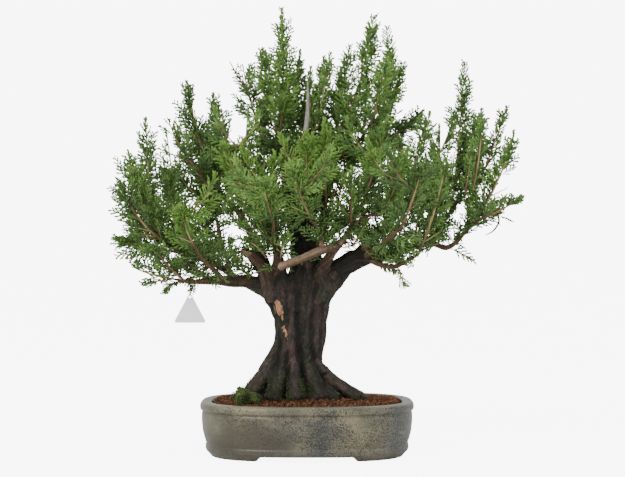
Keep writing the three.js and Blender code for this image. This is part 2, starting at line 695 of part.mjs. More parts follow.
// Bowed centre lines of the shoots: a brown twig out of the limb, then the green stem
const stemRods = [];
const shoots = SHOOTS.map(([limb, t, tip, sway = [0, 0]], index) => {
  const { at, radius } = placeOnLimb(LIMBS[limb], t);
  const rise = BEND_RISE[0] + BEND_RISE[1] * ((index * 0.618) % 1);
  const bend = [
    at[0] + (tip[0] - at[0]) * BEND_REACH + sway[0],
    at[1] + (tip[1] - at[1]) * BEND_REACH + sway[1],
    at[2] + (tip[2] - at[2]) * rise
  ];
  const span = length(sub(bend, at)) + length(sub(tip, bend));
  const bare = clamp((radius + 9 + 0.06 * span) / span, 0.1, 0.4);
  const rods = (from, to, count, room) => {
    const stops = [];
    for (let i = 0; i <= count; i += 1) stops.push(bow(at, bend, tip, from + (to - from) * i / count));
    return stops.slice(1).map((p, i) => ({ from: stops[i], to: p, radius: room, owner: index }));
  };
  const twigRods = rods(0, bare, 2, TWIG_ROOM);
  const greenRods = rods(bare + 0.004, 1, 6, STEM_ROOM);
  const free = Math.min(
    clearance(greenRods, woodRods),
    clearance(greenRods, stemRods),
    clearance(twigRods.slice(1), stemRods)
  );
  if (free < STEM_SPACING) throw new Error(`stem ${index + 1} lies too close to another: ${free}`);
  woodRods.push(...twigRods);
  stemRods.push(...greenRods);
  return { at, bend, end: tip, bare, span, radius, limb, t, index };
});

// Frames along a bowed stem: centre, three directions and half thickness at each stop
function stemFrames(path, stops, across, thick) {
  let side = across;
  return stops.map((t, i) => {
    const along = unit(sub(path(t + 0.01), path(t - 0.01)));
    side = unit(sub(side, mul(along, dot(side, along))));
    const half = thick * (1 - 0.6 * i / (stops.length - 1));
    return { along, across: side, third: cross(along, side), centre: path(t), half };
  });
}

function outwards(frame, k) {
  return add(mul(frame.across, Math.cos(Math.PI / 2 * k)), mul(frame.third, Math.sin(Math.PI / 2 * k)));
}

// Main stem of every shoot, cut into stretches that carry side sprays
for (const shoot of shoots) {
  const draw = seededDraw(3000 + shoot.index);
  const path = (t) => bow(shoot.at, shoot.bend, shoot.end, t);
  const steps = clamp(Math.round(shoot.span * (1 - shoot.bare) / STRETCH), 3, 7);
  const root = shoot.bare + GAP / shoot.span;
  const stops = [root];
  for (let i = 0; i <= steps; i += 1) stops.push(root + (1 - root) * (0.07 + 0.8 * i / steps));
  const facing = (draw() - 0.5) * 1.2;
  shoot.frames = stemFrames(path, stops, [Math.cos(facing), Math.sin(facing), 0], SHOOT_STEM);
  shoot.peak = path(1);
}

// Forks: a second stem from the lower half of a shoot, where there is room for one
for (const shoot of shoots) {
  const draw = seededDraw(4000 + shoot.index);
  const places = [[1, 1], [1, 3], [2, 0], [2, 2]];
  if (draw() < 0.5) places.reverse();
  for (const size of FORK_SIZES) {
    for (const [i, k] of places) {
      if (shoot.fork || !FORKED.includes(shoot.limb)) continue;
      const low = shoot.frames[i];
      const high = shoot.frames[i + 1];
      const out = outwards(low, k);
      const start = add(mix(low.centre, high.centre, 0.5), mul(out, low.half));
      const bend = add(start, add(mul(out, FORK_BEND * size), mul(low.along, FORK_AHEAD * size)));
      const up = (FORK_RISE[0] + FORK_RISE[1] * draw()) * size;
      const end = add(start, add(mul(out, FORK_REACH * size), [0, 0, up]));
      const path = (t) => bow(start, bend, end, t);
      const rods = [0.15, 0.35, 0.55, 0.75].map((t) => (
        { from: path(t), to: path(t + 0.22), radius: STEM_ROOM, owner: shoot.index }
      ));
      for (const corner of [low.centre, high.centre]) {
        rods.unshift({ from: corner, to: path(0.15), radius: STEM_ROOM, owner: shoot.index });
      }
      const free = Math.min(
        clearance(rods, woodRods, () => false, FORK_SPACING),
        clearance(rods, stemRods, (rod) => rod.owner === shoot.index, FORK_SPACING),
        clearance(rods.slice(3), stemRods, () => false, FORK_SPACING)
      );
      if (free < FORK_SPACING) continue;
      const ahead = unit(sub(bend, start));
      const rise = unit(sub(low.along, mul(ahead, dot(low.along, ahead))));
      const frames = stemFrames(path, [0.12, 0.42, 0.68, 0.9], mul(rise, -1), SHOOT_STEM * 0.85);
      shoot.fork = { i, k, frames, peak: end, rods };
      stemRods.push(...rods);
    }
  }
}

// Leafy shoot: square stems whose side panels are raised into flat three-pointed sprays
const sprayRods = [];

function makeShoot(shoot) {
  const draw = seededDraw(5000 + shoot.index);
  const points = [];
  const faces = [];
  const own = shoot.fork ? [...shoot.fork.rods] : [];
  const panel = ([a, b, c, d]) => faces.push([a, b, c], [a, c, d]);
  const spike = (corners, top) => {
    for (let j = 0; j < 4; j += 1) faces.push([corners[j], corners[(j + 1) % 4], top]);
  };
  const addRing = (frame) => [0, 1, 2, 3].map((k) => {
    const out = mul(add(outwards(frame, k), outwards(frame, k - 1)), frame.half);
    return points.push(add(frame.centre, out)) - 1;
  });
  const raiseSpray = (corners, spray) => {
    const ring = spray.ring.map((p) => points.push(p) - 1);
    spike(ring, points.push(spray.tip) - 1);
    spike([corners[0], corners[1], ring[1], ring[0]], points.push(spray.lower) - 1);
    panel([corners[1], corners[2], ring[2], ring[1]]);
    spike([corners[2], corners[3], ring[3], ring[2]], points.push(spray.upper) - 1);
    panel([corners[3], corners[0], ring[0], ring[3]]);
  };
  const grow = (root, frames, peak, first, fork, scale) => {
    let ring = root;
    for (let i = first; i < frames.length; i += 1) {
      const before = frames[Math.max(0, i - 1)];
      const above = addRing(frames[i]);
      for (let k = 0; k < 4; k += 1) {
        const next = (k + 1) % 4;
        const corners = [ring[k], ring[next], above[next], above[k]];
        if (fork && fork.i === i - 1 && fork.k === k) {
          grow(corners, fork.frames, fork.peak, 0, null, 0.8);
          continue;
        }
        const height = (i - 1) / (frames.length - 1);
        const wanted = i > first && (k + i) % 2 === 0;
        const spray = wanted
          ? chooseSpray({ shoot, low: before, high: frames[i], k, height, draw, own, scale })
          : null;
        if (spray) raiseSpray(corners, spray);
        else panel(corners);
      }
      ring = above;
    }
    spike(ring, points.push(peak) - 1);
  };
  const root = addRing(shoot.frames[0]);
  faces.push([root[0], root[2], root[1]], [root[0], root[3], root[2]]);
  grow(root, shoot.frames, shoot.peak, 1, shoot.fork, 1);
  return geometryOf(points, faces);
}

// Picks direction and length of one side spray so that it stays clear of everything else
function chooseSpray({ shoot, low, high, k, height, draw, own, scale }) {
  const out = outwards(low, k);
  const base = mix(low.centre, high.centre, 0.5);
  const fullness = height < 0.3 ? 0.75 + height : 1.05 - 0.55 * (height - 0.3) / 0.7;
  const widest = Math.min(SHOOT_HALF_WIDTH, 0.36 * shoot.span + 8) * scale;
  const whole = widest * fullness * (0.85 + 0.3 * draw());
  const climb = 0.6 + 0.35 * draw() + 0.35 * height;
  const lean = (draw() - 0.5) * 0.5;
  for (const [share, turn] of SPRAY_TRIALS) {
    const side = cross(low.along, out);
    const turned = unit(add(out, mul(side, lean + turn)));
    const size = whole * share;
    const ahead = unit(add(turned, mul(low.along, climb)));
    const rise = unit(sub(low.along, mul(ahead, dot(low.along, ahead))));
    const flat = cross(ahead, rise);
    const middle = add(base, mul(ahead, size * SPRAY_WAIST));
    const corner = (u, n) => add(
      middle,
      add(mul(rise, u * SPRAY_HALF_WIDTH), mul(flat, n * SPRAY_HALF_THICKNESS))
    );
    const point = ([along, across]) => add(base, add(mul(ahead, size * along), mul(rise, size * across)));
    const spray = {
      ring: [corner(-1, 1), corner(-1, -1), corner(1, -1), corner(1, 1)],
      tip: point(SPRAY_TIP),
      lower: point(SPRAY_LOWER),
      upper: point(SPRAY_UPPER)
    };
    const { tip, lower, upper } = spray;
    const widths = [tip[0], lower[0], upper[0]];
    if (Math.min(...widths) < CROWN_LEFT || Math.max(...widths) > CROWN_RIGHT) continue;
    const ends = [
      [low.centre, middle], [high.centre, middle], [base, middle], [middle, tip], [low.centre, lower],
      [mix(low.centre, middle, 0.5), lower], [middle, lower], [high.centre, upper],
      [mix(high.centre, middle, 0.5), upper], [middle, upper]
    ];
    const rods = ends.map(([from, to]) => ({ from, to, radius: SPRAY_ROOM, owner: shoot.index }));
    const others = (rod) => rod.owner === shoot.index;
    const outerRods = rods.slice(3).map((rod) => ({ ...rod, from: mix(rod.from, rod.to, 0.4) }));
    const free = [woodRods, stemRods, sprayRods].every((list) => (
      clearance(rods, list, others, SPRAY_SPACING) >= SPRAY_SPACING
    ));
    if (free && clearance(outerRods, own, () => false, OWN_SPACING) >= OWN_SPACING) {
      sprayRods.push(...rods);
      own.push(...outerRods);
      return spray;
    }
  }
  return null;
}

// Trunk, limbs and twigs, grown as one piece
function makeWood() {
  const rings = [];
  for (const row of TRUNK_OUTLINE) rings.push(trunkRing(row[0]));
  const trunk = loft(rings);
  const parts = [solidOf(trunk.points, trunk.faces)];
  const twigStations = (shoot, stops) => stops.map((s, i) => [
    ...bow(shoot.at, shoot.bend, shoot.end, shoot.bare * s),
    Math.min(2.3, shoot.radius) - 0.15 * i
  ]);
  for (const [name, stations] of Object.entries(LIMBS)) {
    const leading = shoots.find((shoot) => shoot.limb === name && shoot.t === 1);
    const ending = leading ? twigStations(leading, [0.5, 1]) : [];
    const thick = stations[0][3];
    const limb = bar([...stations, ...ending], thick > 12 ? 8 : thick > 6 ? 6 : 4);
    parts.push(solidOf(limb.points, limb.faces));
  }
  for (const shoot of shoots.filter((other) => other.t < 1)) {
    const twig = bar(twigStations(shoot, [0, 1]), 3);
    parts.push(solidOf(twig.points, twig.faces));
  }
  let wood = parts[0];
  for (const piece of parts.slice(1)) wood = wood.add(piece);
  const bodies = wood.decompose().sort((a, b) => b.volume() - a.volume());
  return geometryFromSolid(bodies[0]);
}

// Hanging tag: a flat triangle with rounded corners and a hole for its tie
function makeTag() {
  const shape = new THREE.Shape();
  const height = TAG_SIZE * 0.94;
  const corners = [[0, 0], [-TAG_SIZE / 2, -height], [TAG_SIZE / 2, -height]];
  corners.forEach((corner, i) => {
    const before = corners[(i + 2) % 3];
    const after = corners[(i + 1) % 3];
    const near = (other) => {
      const far = Math.hypot(other[0] - corner[0], other[1] - corner[1]);
      return [0, 1].map((j) => corner[j] + (other[j] - corner[j]) * TAG_CORNER / far);
    };
    const start = near(before);
    const finish = near(after);
    if (i === 0) shape.moveTo(start[0], start[1]);
    else shape.lineTo(start[0], start[1]);
    shape.quadraticCurveTo(corner[0], corner[1], finish[0], finish[1]);
  });
  shape.closePath();
  const hole = new THREE.Path();
  hole.absarc(0, -TAG_HOLE_DEPTH, TAG_HOLE_RADIUS, 0, 2 * Math.PI, true);
  shape.holes.push(hole);
  const settings = { depth: TAG_THICK, bevelEnabled: false, curveSegments: 5 };
  const plate = new THREE.ExtrudeGeometry(shape, settings);
  plate.rotateX(Math.PI / 2);
  const top = TAG_HOLE_TOP + TAG_HOLE_DEPTH - TAG_HOLE_RADIUS;
  plate.translate(TWIG_PLACE[0], TWIG_PLACE[1] + TAG_THICK / 2, top);
  return plate;
}

// Tie of the tag: a closed loop over the twig and through the hole
function makeTie() {
  const path = [];
  const arc = 8;
  for (let i = 0; i <= arc; i += 1) {
    const turn = Math.PI * i / arc;
    path.push([Math.cos(turn) * TIE_ROUND, TIE_TOP + Math.sin(turn) * TIE_ROUND]);
  }
  for (let i = 0; i <= arc; i += 1) {
    const turn = Math.PI + Math.PI * i / arc;
    path.push([Math.cos(turn) * TIE_ROUND, TIE_BOTTOM + Math.sin(turn) * TIE_ROUND]);
  }
  const sides = 6;
  const points = [];
  const faces = [];
  path.forEach(([y, z], i) => {
    const before = path[(i + path.length - 1) % path.length];
    const after = path[(i + 1) % path.length];
    const along = unit([0, after[0] - before[0], after[1] - before[1]]);
    const across = cross(along, [1, 0, 0]);
    for (let k = 0; k < sides; k += 1) {
      const turn = 2 * Math.PI * k / sides;
      const out = add([Math.cos(turn) * TIE_RADIUS, 0, 0], mul(across, -Math.sin(turn) * TIE_RADIUS));
      points.push(add([TWIG_PLACE[0], TWIG_PLACE[1] + y, z], out));
    }
  });
  for (let i = 0; i < path.length; i += 1) {
    const next = (i + 1) % path.length;
    for (let k = 0; k < sides; k += 1) {
      const turn = (k + 1) % sides;
      const corners = [i * sides + k, i * sides + turn, next * sides + turn, next * sides + k];
      faces.push([corners[0], corners[2], corners[1]], [corners[0], corners[3], corners[2]]);
    }
  }
  return geometryOf(points, faces);
}

// Assembly
const group = new THREE.Group();
const place = new THREE.Group();
place.position.set(...PLACE_SHIFT);
group.add(place);

function addPiece(name, geometry, color, roughness, metalness = 0) {
  const material = new THREE.MeshStandardMaterial({ color, roughness, metalness });
  const mesh = new THREE.Mesh(geometry, material);
  mesh.name = name;
  place.add(mesh);
}

const leafy = shoots.map(makeShoot);
addPiece('pot', makePot(), '#9b9686', 0.28);
addPiece('soil', makeSoil(), '#6e4433', 0.95);
addPiece('drain_screen_left', makeScreen(-1), '#26282a', 0.6);
addPiece('drain_screen_right', makeScreen(1), '#26282a', 0.6);
addPiece('trunk_and_limbs', makeWood(), '#5d4d45', 0.9);
addPiece('moss_cushion', makeMoss(), '#6f7d2c', 0.95);
addPiece('tag', makeTag(), '#d9dcda', 0.35);
addPiece('tag_tie', makeTie(), '#3d3f42', 0.6);
leafy.forEach((geometry, i) => {
  addPiece(`shoot_${String(i + 1).padStart(2, '0')}_${shoots[i].limb}`, geometry, '#6f9038', 0.7);
});

export default group;
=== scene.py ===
"""Looks of the arborvitae bonsai in its oval pot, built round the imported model.

Shapes are worked out in millimetres round the middle of the pot, as in the part's source, with +Z up and
the front towards -Y. make_mesh() turns them into metres in the frame.
"""
import math

import bpy
import numpy as np
from mathutils import Matrix, Vector


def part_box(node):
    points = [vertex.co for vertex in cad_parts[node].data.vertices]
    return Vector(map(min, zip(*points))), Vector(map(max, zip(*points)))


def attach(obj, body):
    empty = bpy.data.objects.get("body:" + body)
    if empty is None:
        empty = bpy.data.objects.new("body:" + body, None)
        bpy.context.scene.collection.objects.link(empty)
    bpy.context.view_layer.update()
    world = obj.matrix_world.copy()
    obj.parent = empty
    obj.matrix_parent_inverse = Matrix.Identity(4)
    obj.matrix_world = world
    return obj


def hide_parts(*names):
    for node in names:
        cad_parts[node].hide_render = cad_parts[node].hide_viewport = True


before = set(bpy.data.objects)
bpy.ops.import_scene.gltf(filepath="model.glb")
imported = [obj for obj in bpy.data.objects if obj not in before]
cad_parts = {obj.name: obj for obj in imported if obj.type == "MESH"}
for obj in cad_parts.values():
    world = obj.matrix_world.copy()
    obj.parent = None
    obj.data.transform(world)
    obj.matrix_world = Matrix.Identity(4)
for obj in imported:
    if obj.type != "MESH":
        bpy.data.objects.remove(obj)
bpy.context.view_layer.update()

MM = 0.001
POT_LOW, POT_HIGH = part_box("pot")
MIDDLE = np.array([(POT_LOW.x + POT_HIGH.x) / 2, (POT_LOW.y + POT_HIGH.y) / 2, 0.0])
UP = np.array([0.0, 0.0, 1.0])

# Camera, level and square to the front, in millimetres
CAMERA_PLACE = (8.4, -2500, 330)
FOCAL_PIXELS = 1623
PHOTO_WIDTH = 625
SENSOR_WIDTH = 36

# Lights: place and size in metres, then watts. The sky and floor look brighter than the light they give
LIGHTS = {"key": ((-1.5, -2.3, 2.4), 1.6, 60), "fill": ((2.2, -1.8, 1.4), 2.0, 12)}
LIT_PLACE = (0, 0, 0.3)
WORLD_LIGHT = 0.8
BACKDROP_LIGHT = 8.0
FLOOR_GLOW = 7.3
FLOOR_SIZE = 40

# Starts of the random draws
SPRAY_SEED = 11
TWIG_SEED = 12
SOIL_SEED = 23
INNER_SEED = 55
EXTRA_SEED = 77
MOSS_SEED = 91
SHOOT_SEED = 700

# Pot, in millimetres, with its profile as rows of inset and height
POT_HALF_LENGTH = 164
POT_HALF_WIDTH = 125
POT_HEIGHT = 82
POT_ROUNDNESS = 2.8
POT_SIDES = 216
RIM_WIDTH = 19
FOOT_HEIGHT = 8
FOOT_GAP_FRONT = 71
FOOT_GAP_END = 40
DRAIN_RADIUS = 12
DRAIN_PLACE = 75
DRAIN_SIDES = 40
FLOOR_TOP = 17
POT_OUTSIDE = [
    (29, FOOT_HEIGHT + 1), (29.2, 0), (16, 0), (13.2, FOOT_HEIGHT - 3.5), (9.6, 8.4), (8.4, 11), (8.4, 16.4),
    (9.6, 19), (7, 27), (4.2, 38), (2.6, 54), (2.9, 65.5), (4.2, 67.6), (3.6, 69.2), (0.6, 70.6),
    (0.1, 74.5), (0.6, 78.6), (3.6, POT_HEIGHT),
]
POT_INSIDE = [
    (RIM_WIDTH - 1.6, POT_HEIGHT), (RIM_WIDTH + 0.4, POT_HEIGHT - 5), (RIM_WIDTH - 5, POT_HEIGHT - 12),
    (RIM_WIDTH - 2, 32), (RIM_WIDTH + 5, FLOOR_TOP + 5), (RIM_WIDTH + 13, FLOOR_TOP),
]

# Soil and moss
SOIL_LEVEL = 80.5
SOIL_RISE = 6.5
SOIL_AT_RIM = 78.5
SOIL_SIDES = 144
SOIL_RINGS = 30
GRAIN_COUNT = 4800
GRAIN_RADIUS = (0.9, 1.75)
MOUND_MIDDLE = (-6, 4)
MOUND_HALF = (93, 62)
MOUND_FADE = 30
MOSS_CENTRE = (-91, -62, 85)
MOSS_HALF = (18.4, 14.7, 22)
MOSS_SIDES = 40
MOSS_ROWS = 14
TUFT_COUNT = 3000
TUFT_HEIGHTS = (2.2, 4.6)
CREEPING_HEIGHTS = (1.4, 3.2)

# Tag and its tie
TWIG_PLACE = (-178.3, -26, 263.7)
TAG_SIZE = 50
TAG_THICK = 1.2
TAG_CORNER = 5
TAG_HOLE_DEPTH = 7.4
TAG_HOLE_RADIUS = 2.2
TIE_RADIUS = 0.6
TIE_SIDES = 10
TIE_ROUND = 4.8
TIE_TOP = TWIG_PLACE[2] - 0.6
TIE_BOTTOM = 247.3

# Trunk, with its crotch, and the greatest height of its front grooves
FOOTING_TOP = 138
TRUNK_PLAIN_TOP = 93
TRUNK_TWIST = 0.006
TRUNK_SIDES = 180
TRUNK_LEVELS = (62, 251, 2.4)
CROTCH_MIDDLE = (-8, 6)
CROTCH_HEIGHT = 238
GROOVE_TOP = 262

# Cross sections of the trunk: z, left, right, front and back
TRUNK_OUTLINE = [
    (46, -96, 84, -54, 62), (93, -96, 84, -54, 62), (104, -92.5, 64, -46, 54), (120, -82, 36, -38, 48),
    (135, -72, 23, -34, 45), (150, -61, 24, -31, 44), (167, -52, 28, -29, 43), (183, -50, 30, -28, 42),
    (202, -51, 32, -27, 41), (220, -52, 36, -26, 40), (234, -56, 38, -22, 37), (250, -40, 26, -8, 26),
]
# Roots as swellings round its foot: angle, strength and spread
ROOT_SWELLINGS = [
    (352, 0.16, 13), (300, 0.16, 14), (262, 0.1, 12), (222, 0.2, 13), (184, 0.15, 13), (138, 0.17, 15),
    (92, 0.12, 14), (45, 0.2, 13),
]

# Grooves down the front of the trunk, darkened with painted shade in the bark's colour: rows of x and z,
# then depth and half width
GROOVES = [
    ([(-14, 262), (-15, 236), (-14, 176), (-9, 138), (-2, 92)], 7, 5),
    ([(10, 262), (7, 206), (8, 160), (17, 122), (29, 92)], 4.5, 4),
    ([(-43, 192), (-40, 160), (-49, 127), (-62, 92)], 5, 4.5),
    ([(-29, 165), (-30, 122), (-35, 90)], 5, 4),
    ([(24, 240), (22, 190), (20, 140)], 3, 3),
    ([(-28, 262), (-30, 225), (-28, 196)], 3.5, 4),
]

# Parts of the wood that show only here: roots, a knob, stubs and dead twigs, as x, y, z and radius
EXTRA_WOOD = {
    "crotch_web": [(-30, -4, 225, 16), (-37, -6, 258, 13), (-42, 0, 288, 9), (-46, 6, 318, 5)],
    "crotch_front": [(-8, 0, 216, 12), (-7, -12, 246, 14), (-6, -14, 270, 13), (-2, -8, 300, 10)],
    "right_shoulder": [(8, 0, 212, 13), (24, -9, 246, 14), (42, -8, 272, 11)],
    "right_root": [
        (14, -12, 138, 10), (26, -18, 126, 9), (42, -26, 110, 8.6), (49, -28, 107, 9), (60, -32, 99, 7),
        (76, -38, 89, 7),
    ],
    "right_knob": [(18, -20, 124, 7), (25, -24, 130, 7.5), (30, -24, 126, 6)],
    "right_back_root": [
        (30, -10, 122, 8), (46, -18, 112, 6.5), (62, -22, 103, 6), (80, -26, 93, 5.6), (92, -28, 86, 5),
    ],
    "left_root": [(-52, -22, 146, 11), (-66, -34, 122, 11), (-80, -44, 104, 10), (-94, -50, 90, 7)],
    "front_left_root": [(-40, -24, 140, 9), (-46, -41, 114, 11), (-52, -52, 88, 12)],
    "front_root": [(-20, -24, 138, 9), (-18, -42, 112, 12), (-15, -52, 88, 13)],
    "front_right_root": [(3, -24, 138, 9), (13, -38, 112, 11), (22, -47, 88, 12)],
    "facing_stub": [(88, 0, 302, 7), (89, -12, 314, 6.4), (90, -24, 321, 6)],
    "dead_twig": [
        (-79, 58, 515, 1.8), (-81, 58, 546, 1.6), (-98, 56, 568, 1.4), (-112, 55, 590, 1.1),
        (-122, 54, 609, 0.7),
    ],
    "dead_twig_fork": [(-96, 56, 566, 1.2), (-100, 54, 574, 1.1), (-112, 52, 577, 0.7)],
    "hanging_twig": [(137, -34, 289, 1.1), (141, -34, 277, 0.9), (148, -34, 260, 0.5)],
    "hooked_twig": [(284, -66, 372, 1.8), (288, -66, 356, 1.6), (280, -66, 342, 1.4), (268, -66, 335, 0.7)],
}

# Shoots that show only here: start, bend, tip and the length of their widest sprays
EXTRA_SHOOTS = [
    ((108, 30, 500), (140, 30, 552), (123, 26, 660), 17),
    ((16, 18, 500), (26, 18, 560), (36, 14, 618), 22),
    ((250, -52, 400), (264, -52, 460), (264, -50, 520), 24),
    ((238, -48, 395), (246, -50, 430), (250, -48, 480), 20),
    ((-60, 22, 262), (-78, 32, 288), (-100, 34, 322), 22),
    ((-92, 14, 268), (-86, 16, 292), (-72, 18, 322), 20),
    ((-84, 12, 262), (-96, -6, 280), (-112, -14, 300), 18),
    ((257, -30, 404), (283, -34, 465), (304, -36, 531), 27),
    ((10, 24, 490), (2, 28, 540), (6, 26, 598), 18),
    ((138, -34, 286), (141, -34, 274), (149, -34, 258), 5),
    ((-190, -30, 266), (-204, -34, 262), (-217, -36, 248), 16),
    ((-165, -20, 266), (-172, -26, 260), (-176, -30, 251), 12),
    ((-205, -40, 268), (-225, -44, 266), (-244, -48, 262), 18),
    ((-150, -18, 272), (-172, -24, 274), (-188, -28, 262), 18),
    ((20, -10, 350), (30, -30, 380), (36, -34, 426), 20),
    ((120, 24, 540), (134, 22, 580), (132, 22, 622), 16),
    ((88, 18, 500), (92, 18, 540), (92, 16, 590), 14),
    ((236, -40, 338), (250, -46, 375), (252, -48, 418), 24),
    ((-240, -10, 300), (-262, -14, 325), (-274, -16, 370), 24),
    ((-150, 10, 268), (-180, 6, 275), (-200, 2, 300), 22),
    ((-62, -30, 300), (-70, -44, 318), (-96, -50, 330), 20),
    ((-40, -40, 300), (-38, -56, 318), (-26, -62, 338), 18),
    ((-95, -10, 285), (-104, -14, 300), (-118, -18, 318), 18),
    ((70, -20, 320), (82, -30, 335), (92, -36, 362), 20),
    ((110, -24, 300), (124, -32, 308), (136, -36, 325), 18),
    ((44, -20, 370), (52, -30, 395), (50, -34, 430), 20),
]

# Open places between the shoots, seen from the front, as least and greatest x and z
GAPS = [
    (207, 444, 230, 526), (66, 560, 79, 616), (-130, 481, -106, 514), (-177, 525, -158, 575),
    (-112, 579, -92, 613), (291, 398, 330, 441), (298, 358, 330, 382), (40, 290, 84, 332),
    (-106, 490, -88, 570), (-226, 446, -206, 512), (-128, 342, -114, 362), (-286, 264, -228, 292),
]

# Trunk, limbs and snags as rows of x, y, z and radius
LIMBS = {
    "centre_trunk": [
        (-11, 8, 216, 33), (-3, 10, 255, 31), (0, 12, 287, 26), (-9, 16, 326, 18), (-22, 20, 366, 12),
        (-30, 22, 405, 9), (-34, 22, 444, 6.5),
    ],
    "left_trunk": [
        (-26, 4, 223, 26), (-48, 4, 247, 20), (-62, 4, 271, 13), (-68, 8, 294, 9), (-79, 14, 320, 7),
        (-93, 18, 348, 5.5), (-107, 20, 371, 4.5), (-128, 22, 393, 3.4),
    ],
    "right_limb": [
        (-2, 4, 226, 26), (26, 4, 255, 21), (48, 2, 280, 17), (69, -2, 295, 15), (94, -8, 302, 11.5),
        (118, -14, 305, 7.5),
    ],
    "left_low": [
        (-40, 8, 235, 15), (-68, 10, 253, 12.6), (-91, 8, 263, 10.5), (-111, 4, 264, 9),
        (-132, -4, 265, 7.4), (-153, -14, 265, 5.4), (-178, -26, 264, 3), (-205, -40, 269, 1.6),
    ],
    "left_rise": [
        (-150, -13, 265, 3.6), (-166, -24, 280, 3.3), (-181, -34, 296, 3), (-198, -44, 313, 2.7),
        (-216, -52, 323, 2.4), (-230, -56, 343, 2.1),
    ],
    "left_back": [
        (-107, 6, 266, 5.5), (-133, 30, 284, 4.5), (-163, 58, 296, 3.6), (-193, 84, 305, 2.8),
        (-220, 104, 318, 1.9),
    ],
    "left_front": [(-128, -6, 265, 4.5), (-141, -40, 282, 3.8), (-155, -76, 298, 3), (-164, -104, 316, 2)],
    "dark_riser": [(-117, 6, 266, 4), (-123, 20, 294, 3.6), (-133, 34, 321, 3), (-140, 46, 350, 2.6)],
    "upper_left": [(-128, 22, 393, 3.2), (-145, 26, 419, 2.8), (-157, 28, 451, 2.3)],
    "upper_left_low": [
        (-123, 21, 388, 2.8), (-144, 8, 400, 2.4), (-158, -4, 418, 2), (-170, -12, 438, 1.6),
    ],
    "red_branch": [
        (-54, -4, 266, 9), (-46, -16, 294, 7), (-47, -26, 322, 6.2), (-53, -32, 346, 4.6),
        (-70, -36, 367, 3.6), (-88, -36, 382, 3), (-100, -32, 402, 2.5),
    ],
    "peeled_snag": [
        (-54, -14, 233, 10), (-59, -15, 250, 10), (-65, -15, 277, 9), (-75, -13, 295, 7.5),
        (-88, -11, 304, 6), (-100, -9, 309, 4),
    ],
    "front_riser": [
        (14, -6, 266, 12), (29, -18, 293, 9), (41, -30, 312, 6.5), (58, -34, 332, 5), (70, -34, 351, 3.6),
    ],
    "pruned_bough": [(47, -32, 319, 6.6), (20, -44, 311, 6.4), (-10, -50, 299, 6.4), (-41, -54, 287, 6.2)],
    "twin_stem": [(23, -42, 313, 4), (21, -50, 328, 3.4), (20, -58, 344, 2.8)],
    "twin_left": [(20, -57, 341, 2.5), (8, -66, 356, 2.2), (-1, -72, 376, 1.9)],
    "twin_right": [(21, -53, 332, 2.4), (27, -54, 353, 2.1), (29, -56, 377, 1.9)],
    "cut_stub": [(27, -53, 346, 2.4), (33, -46, 373, 2.4), (41, -42, 403, 2.4)],
    "orange_stem": [(70, -34, 349, 3.2), (88, -40, 363, 2.8), (110, -46, 367, 2.5), (131, -52, 374, 2.2)],
    "inner_stem": [(61, -34, 337, 3), (75, -30, 367, 2.5), (85, -28, 386, 2.1)],
    "right_low": [
        (97, -12, 297, 5), (113, -24, 290, 4.2), (131, -38, 287, 3.6), (149, -52, 295, 3),
        (167, -64, 307, 2.5),
    ],
    "right_main": [
        (115, -14, 305, 7), (136, -14, 309, 6.2), (162, -18, 319, 5.4), (188, -26, 323, 4.6),
        (211, -36, 316, 4.2), (226, -44, 325, 3.6), (240, -52, 341, 3), (259, -62, 358, 2.4),
    ],
    "right_fan": [(186, -25, 323, 4.2), (199, -14, 341, 3.7), (215, -4, 363, 3.2), (231, 4, 385, 2.7)],
    "right_back": [
        (69, 0, 294, 8), (89, 30, 318, 6.5), (112, 62, 340, 5), (139, 92, 361, 3.6), (166, 116, 386, 2),
    ],
    "right_front": [(90, -14, 302, 5), (110, -50, 319, 4), (127, -84, 334, 3), (140, -112, 348, 2)],
    "leader_left": [(-33, 22, 433, 6), (-42, 24, 468, 4.6), (-47, 24, 499, 3.4)],
    "leader_far_left": [(-33, 22, 443, 4.5), (-55, 40, 469, 3.4), (-71, 52, 493, 2.6), (-79, 58, 517, 1.8)],
    "deadwood_spike": [
        (-30, 20, 436, 6), (-14, 8, 467, 5.5), (-3, 0, 494, 4.4), (1, -4, 528, 3), (1, -6, 575, 0.8),
    ],
    "leader_right": [
        (-11, 16, 328, 11), (6, 28, 368, 8), (23, 34, 409, 6), (40, 34, 453, 4.6), (51, 30, 493, 3.2),
    ],
    "leader_mid": [(40, 34, 449, 4), (65, 20, 467, 3), (83, 8, 484, 2.4), (95, 2, 503, 1.8)],
    "leader_far_right": [(25, 34, 412, 5), (58, 48, 434, 4), (85, 58, 462, 3.2), (104, 62, 495, 2.5)],
    "back_left": [(-17, 24, 351, 8), (-43, 62, 369, 6), (-72, 96, 387, 4), (-99, 122, 408, 2)],
    "back_middle": [(-11, 22, 331, 9), (-8, 68, 356, 6.5), (-2, 110, 382, 4.4), (8, 142, 412, 2)],
    "back_right": [(-3, 18, 312, 9), (30, 60, 334, 6.5), (62, 98, 356, 4.4), (89, 128, 383, 2)],
    "front_middle": [(-47, -24, 312, 4), (-50, -58, 334, 3), (-50, -90, 355, 2)],
}

